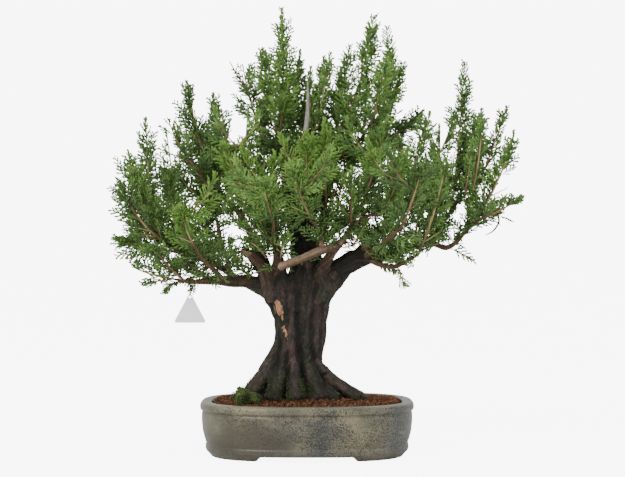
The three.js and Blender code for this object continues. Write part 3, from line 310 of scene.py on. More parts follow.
# Leafy shoots: limb, share of its length, tip and, on some, how far their bend sways
SHOOTS = [
    ("left_rise", 1, (-244, -50, 513)), ("left_rise", 0.84, (-267, -78, 462), (-8, -24)),
    ("left_rise", 0.68, (-282, -92, 420), (-4, -36)), ("left_rise", 0.56, (-291, -62, 331)),
    ("left_rise", 0.4, (-220, -18, 455)), ("left_low", 1, (-261, -62, 287)),
    ("left_low", 0.88, (-227, -116, 322)), ("left_back", 1, (-273, 128, 444)),
    ("left_back", 0.75, (-225, 86, 506)), ("left_back", 0.45, (-166, 112, 456)),
    ("left_front", 1, (-183, -152, 377)), ("dark_riser", 1, (-176, 74, 512)),
    ("upper_left", 1, (-188, 34, 577)), ("upper_left", 0.7, (-148, 52, 559), (8, 14)),
    ("upper_left", 0.35, (-119, 8, 513)), ("upper_left_low", 1, (-212, -22, 512)),
    ("red_branch", 1, (-90, -30, 526)), ("red_branch", 0.84, (-124, -66, 475)),
    ("red_branch", 0.6, (-49, -70, 460)), ("front_middle", 1, (-65, -146, 418)),
    ("leader_far_left", 1, (-102, 70, 605)), ("leader_left", 1, (-69, 28, 627)),
    ("leader_left", 0.7, (-40, 6, 686), (10, -28)), ("red_branch", 0.35, (-85, -86, 396)),
    ("centre_trunk", 1, (-11, 56, 627)), ("back_left", 1, (-139, 152, 520)),
    ("back_left", 0.6, (-74, 136, 548)), ("back_middle", 1, (-6, 172, 565)),
    ("twin_left", 1, (0, -92, 491)), ("twin_right", 1, (26, -62, 511)),
    ("twin_left", 0.4, (-24, -128, 445)), ("leader_right", 1, (104, 22, 677)),
    ("leader_right", 0.8, (67, 52, 634), (-4, 26)), ("leader_right", 0.55, (27, 68, 619), (-18, 24)),
    ("leader_mid", 1, (121, -8, 607)), ("front_riser", 0.95, (67, -94, 437)),
    ("leader_far_right", 1, (151, 84, 611)), ("leader_far_right", 0.65, (188, 112, 537)),
    ("orange_stem", 1, (185, -64, 521)), ("orange_stem", 0.7, (150, -100, 467)),
    ("inner_stem", 1, (124, -24, 517)), ("right_low", 1, (211, -94, 467)),
    ("right_fan", 1, (272, 22, 533)), ("right_fan", 0.8, (243, 0, 602)),
    ("right_fan", 0.4, (208, 44, 509)), ("right_main", 1, (320, -84, 393)),
    ("right_main", 0.8, (312, -56, 493), (10, 16)), ("right_main", 0.3, (169, -72, 412)),
    ("right_back", 1, (243, 152, 537)), ("right_back", 0.6, (154, 138, 497), (-10, 14)),
    ("right_front", 1, (169, -160, 443)), ("back_right", 1, (122, 160, 527)),
]

# Limbs of more than this radius are fused with the trunk, in voxels of this size
FUSED_RADIUS = 4.4
VOXEL = 1.95
LIMB_STEP = 3.5
TWIG_RADIUS = 2.3
BARE_LIMBS = ("deadwood_spike", "peeled_snag", "pruned_bough", "cut_stub")

# Bare pale wood, as lines with a radius and a strength, and strips of torn bark
PEELED = [
    ([(-2, -1, 500), (1, -4, 528), (1, -6, 575)], 9, 1.0),
    ([(-92, -12, 309), (-106, -8, 313)], 10, 0.6),
    ([(47, -38, 325), (20, -50, 317), (-10, -56, 305), (-30, -59, 297), (-44, -60, 290)], 9, 0.55),
    ([(-41, -54, 287), (-46, -55, 285)], 8, 0.9),
    ([(90, -26, 322), (90, -32, 325)], 9, 0.6),
    ([(38, -44, 396), (42, -42, 406)], 7, 0.7),
]
TORN = [
    ([(-46, 0, 231), (-43, 0, 226), (-41, 0, 218)], 5.4),
    ([(-40, 0, 217), (-38, 0, 203), (-35, 0, 192), (-32, 0, 177)], 2.6),
]
TORN_LOW = (-68, -math.inf, 161)
TORN_HIGH = (-16, 0, 251)

# Stems of the leafy shoots
BEND_REACH = 0.62
BEND_RISE = (0.32, 0.16)
CROWN_LEFT = -304
CROWN_RIGHT = 324
STEM_SIDES = 5
STEM_RADII = (2.1, 0.85)
FORK_RADII = (1.3, 0.5)
EXTRA_RADII = (1.5, 0.85)
LONG_SPRAY = 50
FORK_DISTANCE = 47
FORK_STEPS = 14
FRONT_STEMS = -22
OPEN_SHARE = 0.68
FILLER_SPACING = 2.4
FORK_FILLERS = 20
WIDEST_SPRAY = 32
WIDEST_FORK_SPRAY = 22
EXTRA_FILLER_SPACING = 1.7
LEADER_START = 0.45
LEADER_SPACING = 2.5
WIDE_LEADERS = (60, 590)

# Sprays and twigs, of a few lengths with a few shapes each, and the leaves on them
SPRAY_LENGTHS = (14, 21, 30, 42)
TWIG_LENGTHS = (7, 10, 14, 19)
SHAPES_OF_EACH_LENGTH = 4
SPRIG_HALF = 1.25
SPRIG_SPACING = 3.9
LEAF_HALF = 0.8
LEAF_SPACING = 3.4
INNER_SPACING = 3.7
INNER_LENGTHS = (22, 42)
CROWN_FOOT = 258
THICKEST_LEAFY = 13

# Shoots that are brighter than the rest, and how much darker or lighter those of a limb are
YOUNG_SHOOTS = {10, 17, 18, 28, 29, 36, 39}
SHADE_OF = {
    "left_rise": -0.12, "left_low": -0.15, "left_back": -0.1, "dark_riser": -0.16, "right_fan": -0.08,
}


def unit(v):
    v = np.asarray(v, float)
    size = np.linalg.norm(v, axis=-1, keepdims=True)
    return v / np.maximum(size, 1e-12)


def clamp(value, low, high):
    return min(high, max(low, value))


def smooth_step(low, high, value):
    t = np.clip((value - low) / (high - low), 0, 1)
    return t * t * (3 - 2 * t)


def noise(points, seed):
    """Smooth value noise from 0 to 1 at each point, with cells of size one."""
    points = np.asarray(points, float)
    cell = np.floor(points).astype(np.int64)
    part = points - cell
    part = part * part * (3 - 2 * part)
    total = np.zeros(len(points))
    for dx in (0, 1):
        for dy in (0, 1):
            for dz in (0, 1):
                x, y, z = cell[:, 0] + dx, cell[:, 1] + dy, cell[:, 2] + dz
                h = (x * 374761393 + y * 668265263 + z * 1440662683 + seed * 974634777) & 0xFFFFFFFF
                h = ((h ^ (h >> 13)) * 1274126177) & 0xFFFFFFFF
                h = ((h ^ (h >> 16)) * 2246822519) & 0xFFFFFFFF
                value = (h >> 8) / float(1 << 24)
                weight = np.abs(1 - dx - part[:, 0]) * np.abs(1 - dy - part[:, 1])
                total += value * weight * np.abs(1 - dz - part[:, 2])
    return total


def fine_noise(points, seed, octaves):
    total = np.zeros(len(points))
    for i in range(octaves):
        total += noise(points * 2.0**i, seed + i) * 0.5 ** (i + 1)
    return total / (1 - 0.5**octaves)


class Shape:
    """Points, faces and values of one piece, gathered bit by bit."""

    def __init__(self):
        self.points = []
        self.faces = []
        self.values = {}
        self.count = 0

    def add(self, points, faces, **values):
        points = np.asarray(points, float)
        self.points.append(points)
        for group in faces if isinstance(faces, list) else [faces]:
            self.faces.append(np.asarray(group) + self.count)
        for name, value in values.items():
            self.values.setdefault(name, []).append(np.broadcast_to(value, len(points)))
        self.count += len(points)

    def gathered(self):
        values = {name: np.concatenate(parts) for name, parts in self.values.items()}
        return np.concatenate(self.points), self.faces, values

    def piece(self, name, material, replaces=(), smooth=True):
        points, faces, values = self.gathered()
        return dress(make_mesh(name, points, faces, values, smooth), material, replaces)


def make_mesh(name, points, faces, values=None, smooth=True):
    """Mesh object in metres from points in millimetres and arrays of triangles or quads."""
    mesh = bpy.data.meshes.new(name)
    points = np.asarray(points, float) * MM + MIDDLE
    corners = np.concatenate([np.asarray(group).ravel() for group in faces])
    sizes = np.concatenate([np.full(len(group), np.shape(group)[1]) for group in faces])
    mesh.vertices.add(len(points))
    mesh.vertices.foreach_set("co", points.astype(np.float32).ravel())
    mesh.loops.add(len(corners))
    mesh.loops.foreach_set("vertex_index", corners.astype(np.int32))
    mesh.polygons.add(len(sizes))
    mesh.polygons.foreach_set("loop_start", (np.cumsum(sizes) - sizes).astype(np.int32))
    mesh.polygons.foreach_set("loop_total", sizes.astype(np.int32))
    mesh.polygons.foreach_set("use_smooth", np.full(len(sizes), smooth))
    mesh.update(calc_edges=True)
    for key, value in (values or {}).items():
        kind, field = ("FLOAT", "value") if np.ndim(value) == 1 else ("FLOAT_VECTOR", "vector")
        attribute = mesh.attributes.new(key, kind, "POINT")
        attribute.data.foreach_set(field, np.asarray(value, np.float32).ravel())
    made = bpy.data.objects.new(name, mesh)
    bpy.context.scene.collection.objects.link(made)
    return made


def dress(made, material, replaces=()):
    """Makes a mesh object one of the part's pieces."""
    made.data.materials.clear()
    made.data.materials.append(material)
    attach(made, "root")
    if replaces:
        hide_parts(*replaces)
    return made


def read_triples(rows, field, kind=np.float32):
    """Array of three columns from a list of mesh elements."""
    flat = np.zeros(len(rows) * 3, kind)
    rows.foreach_get(field, flat)
    return flat.reshape(-1, 3)


def mesh_points(made):
    """Points of a mesh object, in millimetres round the middle of the pot."""
    return (read_triples(made.data.vertices, "co").astype(float) - MIDDLE) / MM


def mesh_normals(made):
    return read_triples(made.data.vertices, "normal").astype(float)


def mesh_triangles(mesh):
    mesh.calc_loop_triangles()
    return read_triples(mesh.loop_triangles, "vertices", np.int32)


def apply_modifiers(made):
    bpy.context.view_layer.update()
    graph = bpy.context.evaluated_depsgraph_get()
    mesh = bpy.data.meshes.new_from_object(made.evaluated_get(graph))
    made.modifiers.clear()
    made.data = mesh


def turns(sides):
    """Angles of a ring's points."""
    return np.arange(sides) * 2 * math.pi / sides


def ring_faces(rings, sides):
    """Quads between rows of equal closed rings of points."""
    i = np.arange(rings - 1)[:, None] * sides
    k = np.arange(sides)[None, :]
    after = (k + 1) % sides
    quads = np.stack([i + k, i + after, i + after + sides, i + k + sides], axis=-1)
    return quads.reshape(-1, 4)


def closed_rings(rings, ends):
    """Points and faces of a closed skin over equal rings, with one middle point at each end."""
    count, sides = rings.shape[:2]
    k = np.arange(sides)
    after = (k + 1) % sides
    first, last_ring = count * sides, (count - 1) * sides
    caps = [
        np.stack([np.full(sides, first), after, k], axis=1),
        np.stack([np.full(sides, first + 1), last_ring + k, last_ring + after], axis=1),
    ]
    return np.vstack([rings.reshape(-1, 3), ends]), [ring_faces(count, sides)] + caps


def frames_along(centres):
    """Unit directions along a line of points, and two across it that turn as little as possible."""
    ahead = unit(np.gradient(centres, axis=0))
    across = np.zeros_like(ahead)
    side = UP if abs(ahead[0][2]) < 0.9 else np.array([0.0, 1.0, 0.0])
    for i, along in enumerate(ahead):
        side = unit(side - along * np.dot(side, along))
        across[i] = side
    return ahead, across, np.cross(ahead, across)


def tube(centres, radii, sides):
    """Closed round bar along a line of points, ending in a point at both ends."""
    ahead, across, third = frames_along(centres)
    turn = turns(sides)
    out = across[:, None] * np.cos(turn)[None, :, None] + third[:, None] * np.sin(turn)[None, :, None]
    rings = centres[:, None] + out * radii[:, None, None]
    return closed_rings(rings, [centres[0], centres[-1] + ahead[-1] * radii[-1] * 0.6])


def length_along(line):
    """Distance of each point of a line from its start."""
    return np.concatenate([[0], np.cumsum(np.linalg.norm(np.diff(line, axis=0), axis=1))])


def smooth_line(stations, step):
    """Points and radii on a smooth line through rows of x, y, z, radius, about step apart."""
    stations = np.asarray(stations, float)
    padded = np.vstack([2 * stations[0] - stations[1], stations, 2 * stations[-1] - stations[-2]])
    found = []
    for i in range(1, len(padded) - 2):
        a, b, c, d = padded[i - 1 : i + 3]
        count = max(1, int(round(np.linalg.norm((c - b)[:3]) / step)))
        t = (np.arange(count) / count)[:, None]
        square = (2 * a - 5 * b + 4 * c - d) * t**2
        found.append(0.5 * (2 * b + (c - a) * t + square + (3 * b - a - 3 * c + d) * t**3))
    found.append(stations[-1:])
    line = np.vstack(found)
    return line[:, :3], np.maximum(line[:, 3], 0.3)


def bow(start, bend, end, t):
    t = np.asarray(t, float)[..., None]
    return start * (1 - t) ** 2 + bend * 2 * t * (1 - t) + end * t**2


def nearest_on(line, point):
    """Number of the nearest point of a line, and how far away it is."""
    away = np.linalg.norm(line - point, axis=1)
    i = int(np.argmin(away))
    return i, away[i]


# Stems of the shoots


def place_on_limb(stations, t):
    """Point and radius at a share t of a limb's length."""
    stations = np.asarray(stations, float)
    reached = length_along(stations[:, :3])
    return np.array([np.interp(t * reached[-1], reached, stations[:, j]) for j in range(4)])


def stem_of(index, limb, t, tip, sway=(0, 0)):
    """Bowed line of a shoot: start, bend and tip, the share of it that is bare, and its limb's radius."""
    x, y, z, radius = place_on_limb(LIMBS[limb], t)
    start = np.array([x, y, z])
    tip = np.array(tip, float)
    rise = BEND_RISE[0] + BEND_RISE[1] * ((index * 0.618) % 1)
    bend = start + (tip - start) * np.array([BEND_REACH, BEND_REACH, rise]) + np.array([*sway, 0])
    span = np.linalg.norm(bend - start) + np.linalg.norm(tip - bend)
    bare = clamp((radius + 9 + 0.06 * span) / span, 0.1, 0.4)
    return {"start": start, "bend": bend, "tip": tip, "bare": bare, "radius": radius}


def along_stem(stem, t):
    return bow(stem["start"], stem["bend"], stem["tip"], t)


# Leafy sprays


def sprig(start, end, half):
    """Three-sided bar that thickens from its root and ends in a short point."""
    ahead = unit(end - start)
    across = np.array([-ahead[1], ahead[0], 0.0])
    points = []
    for share, size in ((0, 0.55 * half), (0.84, half)):
        middle = start + (end - start) * share
        points.append(middle + UP * 0.8 * size)
        points.append(middle - across * size - UP * 0.4 * size)
        points.append(middle + across * size - UP * 0.4 * size)
    points.append(end)
    faces = [[6, 3, 4], [6, 4, 5], [6, 5, 3]]
    for a, b in ((0, 1), (1, 2), (2, 0)):
        faces += [[a, b, b + 3], [a, b + 3, a + 3]]
    return np.array(points), np.array(faces)


def leaf(start, end):
    """Small leaf folded along its middle."""
    ahead = unit(end - start)
    across = np.array([-ahead[1], ahead[0], 0.0]) * LEAF_HALF
    middle = start + (end - start) * 0.4 - UP * 0.5 * LEAF_HALF
    points = np.array([start, middle - across, middle + across, end])
    return points, np.array([[0, 3, 1], [0, 2, 3]])


def add_leafy_sprig(shape, start, angle, reach, draw, light):
    """Sprig with small alternate leaves along it; light is how pale it is, from 0 to 1, and is lower as
    painted shade nearer the root of a spray.
    """
    ahead = np.array([math.cos(angle), math.sin(angle), draw.uniform(-0.3, 0.3)])
    light = light * draw.uniform(0.6, 1.1)
    half = SPRIG_HALF if reach > 5 else 0.85 * SPRIG_HALF
    # Painted shade: the sprig and its leaves are darkest at their roots and palest at their tips.
    outer = np.array([0.3, 0.3, 0.3, 0.85, 0.85, 0.85, 1]) * light
    shape.add(*sprig(start, start + ahead * reach, half), outer=outer)
    along = 2.2 + draw.uniform(0, 1)
    turn = draw.choice([-1, 1])
    while along < reach - 1.8:
        tilt = angle + turn * math.radians(draw.uniform(28, 42))
        size = min(3.2, 0.25 * (reach - along) + 2.0) * draw.uniform(0.85, 1.15)
        root = start + ahead * along
        tip = root + np.array([math.cos(tilt), math.sin(tilt), draw.uniform(-0.25, 0.25)]) * size
        shape.add(*leaf(root, tip), outer=np.array([0.5, 0.8, 0.8, 1.0]) * light)
        along += LEAF_SPACING * draw.uniform(0.8, 1.2)
        turn = -turn


def add_leafy_twig(shape, length, draw):
    """Single leafy sprig along +X."""
    add_leafy_sprig(shape, np.zeros(3), 0.0, length, draw, 1.0)


def add_flat_spray(shape, length, draw):
    """Flat spray along +X: an axis with alternate leafy sprigs."""
    axis = sprig(np.zeros(3), np.array([length, 0.0, 0.0]), 1.0)
    shape.add(*axis, outer=np.array([0.1, 0.1, 0.1, 0.8, 0.8, 0.8, 1]))
    place = 0.14 * length + draw.uniform(0, 1.5)
    side = draw.choice([-1, 1])
    while place < length - 2.5:
        u = place / length
        reach = min(0.5 * length, 18) * min(1, 0.6 + 1.3 * u) * max(0.0, 1 - u) ** 0.45
        reach *= draw.uniform(0.85, 1.1)
        angle = side * math.radians(draw.uniform(35, 45) - 10 * u)
        # Sprigs nearer the root of the spray get more painted shade.
        add_leafy_sprig(shape, np.array([place, 0, 0]), angle, max(4.2, reach), draw, 0.65 + 0.35 * u)
        place += SPRIG_SPACING * draw.uniform(0.85, 1.15)
        side = -side


def make_shapes(add, lengths, seed):
    """Points, triangles and paleness, which carries painted shade, of a few shapes of each length."""
    draw = np.random.default_rng(seed)
    shapes = {}
    for length in lengths:
        shapes[length] = []
        for _ in range(SHAPES_OF_EACH_LENGTH):
            shape = Shape()
            add(shape, length, draw)
            points, faces, values = shape.gathered()
            shapes[length].append((points, np.concatenate(faces), values["outer"]))
    return shapes


def add_spray(shape, root, tip, outwards, draw, tint, young, shapes=None):
    """Lays one spray from root to tip; it leaves the stem outwards and bends upwards."""
    shapes = shapes or SPRAY_SHAPES
    size = np.linalg.norm(tip - root)
    nearest = min(shapes, key=lambda length: abs(math.log(length / size)))
    points, faces, outer = shapes[nearest][draw.integers(SHAPES_OF_EACH_LENGTH)]
    chord = unit(tip - root)
    drop = outwards - chord * np.dot(outwards, chord)
    if np.linalg.norm(drop) < 0.05:
        drop = np.cross(chord, [1.0, 0.3, 0.0])
    drop = unit(drop)
    bend = (root + tip) / 2 + drop * size * draw.uniform(0.04, 0.14)
    u = points[:, 0] / nearest
    ahead = unit((bend - root)[None] * (1 - u)[:, None] + (tip - bend)[None] * u[:, None])
    roll = draw.normal(0, 0.6)
    normal = unit(np.cross(chord, drop)) * math.cos(roll) + drop * math.sin(roll)
    side = unit(np.cross(normal, ahead))
    normals = np.cross(ahead, side)
    laid = bow(root, bend, tip, u) + side * (points[:, 1] * (size / nearest))[:, None]
    laid = laid + normals * points[:, 2][:, None]
    shape.add(laid, faces, outer=outer, tint=tint, young=young, age=np.clip(0.5 - 1.6 * outer, 0, 1) * 0.6)


def peaks_of(node):
    """Sharp points of a leafy node of the frame, each touched by just four triangles."""
    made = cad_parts[node]
    corners = mesh_triangles(made.data).ravel()
    places, same = np.unique(np.round(mesh_points(made), 2), axis=0, return_inverse=True)
    touching = np.bincount(same.ravel()[corners], minlength=len(places))
    return places[touching == 4]


def in_gap(place):
    return any(x0 < place[0] < x1 and z0 < place[2] < z1 for x0, z0, x1, z1 in GAPS)


class Stem:
    """Leafy stem along a line of points, with what its sprays have in common."""

    def __init__(self, shape, line, radii, draw, tint, young):
        self.shape, self.line, self.draw, self.tint, self.young = shape, line, draw, tint, young
        self.reached = length_along(line)
        self.whole = self.reached[-1]
        self.in_front = line[:, 1].mean() < FRONT_STEMS
        self.used = []
        share = np.append(np.repeat(self.reached / self.whole, STEM_SIDES), [0, 1])
        age = np.clip(1.15 - 1.25 * share, 0, 1)
        shape.add(*tube(line, radii, STEM_SIDES), outer=share * 0.5, tint=tint, young=young, age=age)

    def point(self, s):
        return np.array([np.interp(s, self.reached, self.line[:, j]) for j in range(3)])

    def direction(self, i):
        return self.line[min(i + 1, len(self.line) - 1)] - self.line[max(i - 1, 0)]

    def spray(self, root, tip, outwards, spread, shapes=None):
        tint = self.tint + self.draw.normal(0, spread)
        add_spray(self.shape, root, tip, outwards, self.draw, tint, self.young, shapes)

    def branch(self, root, tip):
        """Thin bare bar that carries sprays which end far from the stem."""
        line = np.linspace(root, root + (tip - root) * 0.6, 5)
        bar = tube(line, np.linspace(1.0, 0.6, 5), 4)
        self.shape.add(*bar, outer=0.3, tint=self.tint, young=self.young, age=0.5)

    def sprays_to(self, tip):
        """Spray out to a tip, with one on each side of it, which leave the front of a stem open."""
        draw = self.draw
        i, away = nearest_on(self.line, tip)
        s = clamp(self.reached[i] - 1.25 * away, 0.02 * self.whole, self.whole - 6)
        root = self.point(s)
        chord = tip - root
        out = unit(self.line[i] - tip) * -1
        ends = [(root, tip)]
        if np.linalg.norm(chord) > LONG_SPRAY:
            self.branch(root, tip)
            beside = root + chord * 0.62 + unit(np.cross(out, UP)) * 12
            ends = [(root + chord * 0.42, tip), (root + chord * 0.2, beside)]
        turned = unit(np.cross(self.direction(i), out))
        for swing in (-1, 1):
            if draw.random() < 0.95:
                sway = swing * draw.uniform(0.3, 0.6) * away
                near = root + chord * draw.uniform(0.5, 0.78) + turned * sway - UP * 3
                ends.append((root + chord * draw.uniform(0.0, 0.3), near))
        open_front = self.in_front and s < OPEN_SHARE * self.whole
        for start, end in ends:
            hides = open_front and end is not tip and end[1] < root[1] - 5
            if not in_gap(end) and not hides:
                self.spray(start, end, out, 0.17)
        self.used.append((s, math.atan2(out[1], out[0])))

    def crowded(self, s, azimuth):
        for other, way in self.used:
            turned = abs((azimuth - way + math.pi) % (2 * math.pi) - math.pi)
            if abs(s - other) < 3.2 and turned < 0.5:
                return True
        return False

    def filler(self, widest):
        """One more spray at a random place, unless others are close."""
        draw = self.draw
        s = self.whole * draw.uniform(0.03, 0.86)
        u = s / self.whole
        azimuth = draw.uniform(0, 2 * math.pi)
        if self.in_front and u < OPEN_SHARE and math.sin(azimuth) < -0.35:
            azimuth = -azimuth
        if self.crowded(s, azimuth):
            return
        out = np.array([math.cos(azimuth), math.sin(azimuth), 0])
        size = widest * (0.72 + 0.4 * u if u < 0.4 else 0.88 - 0.75 * (u - 0.4)) * draw.uniform(0.7, 1.05)
        root = self.point(s)
        along = unit(self.direction(nearest_on(self.line, root)[0]))
        tip = root + unit(out + along * draw.uniform(1.1, 2.2)) * max(10, size * 1.25)
        tip[0] = clamp(tip[0], CROWN_LEFT, CROWN_RIGHT)
        if not in_gap(tip):
            self.spray(root, tip, out, 0.19)
            self.used.append((s, azimuth))

    def leader(self):
        """Single sprigs in two ranks up the last part of the stem, shorter towards its tip."""
        draw, line, whole = self.draw, self.line, self.whole
        ahead = unit(line[-1] - line[-3])
        across = unit(np.cross(ahead, [0.0, 1.0, 0.0]))
        third = np.cross(ahead, across)
        top = line[-1] + ahead * 2
        add_spray(self.shape, self.point(whole - 8), top, across, draw, self.tint, self.young, TWIG_SHAPES)
        wide = line[-1][0] > WIDE_LEADERS[0] and line[-1][2] > WIDE_LEADERS[1]
        lean = draw.uniform(0.8, 1.0) if wide else draw.uniform(1.0, 2.2)
        s, side = whole * LEADER_START, draw.choice([-1, 1])
        while s < whole - 3:
            left = (whole - s) / (whole * (1 - LEADER_START))
            roll = draw.normal(0, 0.5)
            out = (across * math.cos(roll) + third * math.sin(roll)) * side
            size = ((8 + 14 * left**0.6) if wide else (6 + 13 * left**0.8)) * draw.uniform(0.85, 1.15)
            tip = self.point(s) + unit(out + ahead * lean * (2 - left) * draw.uniform(0.85, 1.15)) * size
            if not in_gap(tip):
                self.spray(self.point(s), tip, out, 0.1, TWIG_SHAPES)
            s += LEADER_SPACING
            side = -side


def leafy_stem(shape, line, radii, tips, draw, tint, young, fillers, widest):
    """Stem along a line of points, with sprays out to the given tips and fillers between them."""
    stem = Stem(shape, line, radii, draw, tint, young)
    for tip in tips:
        stem.sprays_to(tip)
    for _ in range(fillers):
        stem.filler(widest)
    stem.leader()


def make_shoot(index, row, node):
    """Leafy shoot over its node: the same stem, with fine sprays out to the node's points."""
    draw = np.random.default_rng(SHOOT_SEED + index)
    stem = stem_of(index, *row)
    shape = Shape()
    line = along_stem(stem, np.linspace(stem["bare"] * 0.45, 1, 28))
    peaks = peaks_of(node)
    away = np.array([nearest_on(line, peak)[1] for peak in peaks])
    peaks, away = peaks[away > 3], away[away > 3]
    forked = away > FORK_DISTANCE
    tint = clamp(0.5 + draw.normal(0, 0.13) + SHADE_OF.get(row[0], 0), 0, 1)
    young = 1.0 if index in YOUNG_SHOOTS else draw.uniform(0, 0.35)
    if forked.any():
        top = peaks[forked][np.argmax(peaks[forked][:, 2])]
        root = line[np.argmin(np.abs(line[:, 2] - (top[2] - 66)))]
        bend = root + (top - root) * np.array([0.8, 0.8, 0.3])
        second = bow(root, bend, top, np.linspace(0, 1, FORK_STEPS))
        radii = np.linspace(*FORK_RADII, FORK_STEPS)
        nearer = np.array([nearest_on(second, p)[1] < nearest_on(line, p)[1] for p in peaks])
        own = [p for p in peaks[nearer] if np.linalg.norm(p - top) > 3]
        peaks = peaks[~nearer]
        leafy_stem(shape, second, radii, own, draw, tint, young, FORK_FILLERS, WIDEST_FORK_SPRAY)
    radii = np.linspace(*STEM_RADII, len(line))
    fillers = int(np.linalg.norm(stem["tip"] - stem["start"]) / FILLER_SPACING)
    leafy_stem(shape, line, radii, peaks, draw, tint, young, fillers, WIDEST_SPRAY)
    shape.piece("leafy_" + node, foliage_material, (node,))


def make_inner_sprays(lines):
    """Small sprays straight out of the limbs, which fill the middle of the crown."""
    draw = np.random.default_rng(INNER_SEED)
    shape = Shape()
    for name, (centre, radii) in lines.items():
        if name in BARE_LIMBS or name in EXTRA_WOOD:
            continue
        steps = length_along(centre)
        for s in np.arange(8, steps[-1], INNER_SPACING):
            i = int(np.searchsorted(steps, s)) - 1
            here, radius = centre[i], radii[i]
            if radius > THICKEST_LEAFY or here[2] < CROWN_FOOT + 3 * radius or draw.random() < 0.1:
                continue
            azimuth = draw.uniform(0, 2 * math.pi)
            rise = draw.uniform(0.4, 2.0) if draw.random() < 0.88 else draw.uniform(-0.8, 0)
            sideways = np.array([math.cos(azimuth), math.sin(azimuth), 0.0])
            out = unit(sideways + UP * rise)
            size = draw.uniform(*INNER_LENGTHS)
            root, tip = here + out * radius * 0.8, here + out * (size + radius)
            tip[0] = clamp(tip[0], CROWN_LEFT, CROWN_RIGHT)
            if in_gap(tip):
                continue
            tint = clamp(draw.normal(0.36, 0.12), 0, 1)
            add_spray(shape, root, tip, sideways, draw, tint, 0.1)
            if draw.random() < 0.7:
                other = tip - UP * 4 + unit(np.cross(out, UP)) * size * draw.choice([-0.5, 0.5])
                add_spray(shape, root, other, sideways, draw, tint, 0.1)
    shape.piece("inner_sprays", foliage_material)


def make_extra_shoots():
    """Small shoots where the crown is fuller than its nodes."""
    draw = np.random.default_rng(EXTRA_SEED)
    shape = Shape()
    for start, bend, tip, widest in EXTRA_SHOOTS:
        start, bend, tip = (np.array(place, float) for place in (start, bend, tip))
        line = bow(start, bend, tip, np.linspace(0, 1, 20))
        radii = np.linspace(*EXTRA_RADII, len(line))
        tint = clamp(draw.normal(0.45, 0.1), 0, 1)
        length = np.linalg.norm(bend - start) + np.linalg.norm(tip - bend)
        leafy_stem(shape, line, radii, [], draw, tint, 0.2, int(length / EXTRA_FILLER_SPACING), widest)
    shape.piece("extra_shoots", foliage_material)


# Trunk and limbs


def trunk_edges(z):
    """Left, right, front and back of the trunk at a height."""
    rows = np.array(TRUNK_OUTLINE, float)
    return [np.interp(z, rows[:, 0], rows[:, j]) for j in range(1, 5)]


def groove_depth(x, y, z):
    """How deep the front grooves cut, in millimetres, at points of the trunk."""
    deep = np.zeros(len(x))
    ragged = 2.4 * (noise(np.column_stack([x * 0.05, y * 0, z * 0.06]), 12) - 0.5)
    for rows, depth, half in GROOVES:
        rows = np.array(rows[::-1], float)
        low, high = rows[0, 1], rows[-1, 1]
        middle = np.interp(z, rows[:, 1], rows[:, 0]) + ragged
        ends = smooth_step(low - 6, low + 8, z) * (1 - smooth_step(high - 14, high, z))
        deep = np.maximum(deep, depth * ends * np.exp(-(((x - middle) / half) ** 2)))
    return deep * (1 - smooth_step(-8, 4, y))


def trunk_surface():
    """Fine skin of the trunk, with flutes and root swellings, from under the soil to its crotch."""
    turn = turns(TRUNK_SIDES)
    rings = []
    for z in np.arange(*TRUNK_LEVELS):
        level = max(z, TRUNK_PLAIN_TOP)
        left, right, front, back = trunk_edges(level)
        footing = clamp((FOOTING_TOP - level) / (FOOTING_TOP - TRUNK_PLAIN_TOP), 0, 1)
        reach = np.full(TRUNK_SIDES, 0.985 - 0.12 * footing)
        for angle, strength, spread in ROOT_SWELLINGS:
            away = np.abs(np.degrees(turn) - angle)
            away = np.minimum(away, 360 - away)
            reach += footing * strength * np.exp(-((away / spread) ** 2))
        twist = turn - (level - TRUNK_PLAIN_TOP) * TRUNK_TWIST
        fade = 1 - 0.6 * footing
        reach += 0.034 * fade * (np.cos(6 * twist + 0.7) + 0.7 * np.cos(9 * twist + 2.1))
        wander = 1.1 * np.sin(z / 31.0)
        behind = 0.4 + 0.6 * smooth_step(-0.3, 0.4, np.sin(turn))
        reach -= behind * (0.07 + 0.05 * footing) * np.abs(np.cos(4.5 * twist + wander)) ** 7
        x = (left + right) / 2 + np.cos(turn) * (right - left) / 2 * reach
        y = (front + back) / 2 + np.sin(turn) * (back - front) / 2 * reach
        height = np.full(TRUNK_SIDES, z)
        rings.append(np.stack([x, y + groove_depth(x, y, height), height], axis=1))
    return closed_rings(np.array(rings), [rings[0].mean(axis=0), rings[-1].mean(axis=0)])


def gnarled_line(rows, pace, place, seed, least, swing):
    """Smooth line through rows of a limb, with a radius that swells and thins."""
    centre, radii = smooth_line(rows, LIMB_STEP)
    spots = np.column_stack([np.arange(len(centre)) * pace, np.full(len(centre), place), radii * 0])
    return centre, radii * (least + swing * noise(spots, seed))


def limb_lines():
    """Line and radii of every limb, with the brown foot of the shoot at its end."""
    lines = {}
    for name, rows in EXTRA_WOOD.items():
        lines[name] = gnarled_line(rows, 0.5, len(lines) * 5.1, 6, 0.88, 0.26)
    for name, stations in LIMBS.items():
        rows = list(stations)
        for index, row in enumerate(SHOOTS):
            if row[:2] == (name, 1):
                stem = stem_of(index, *row)
                for share in (0.5, 1.05):
                    radius = min(TWIG_RADIUS, stem["radius"]) - 0.3 * share
                    rows.append((*along_stem(stem, stem["bare"] * share), radius))
        lines[name] = gnarled_line(rows, 0.35, len(lines) * 7.3, 5, 0.93, 0.2)
    return lines


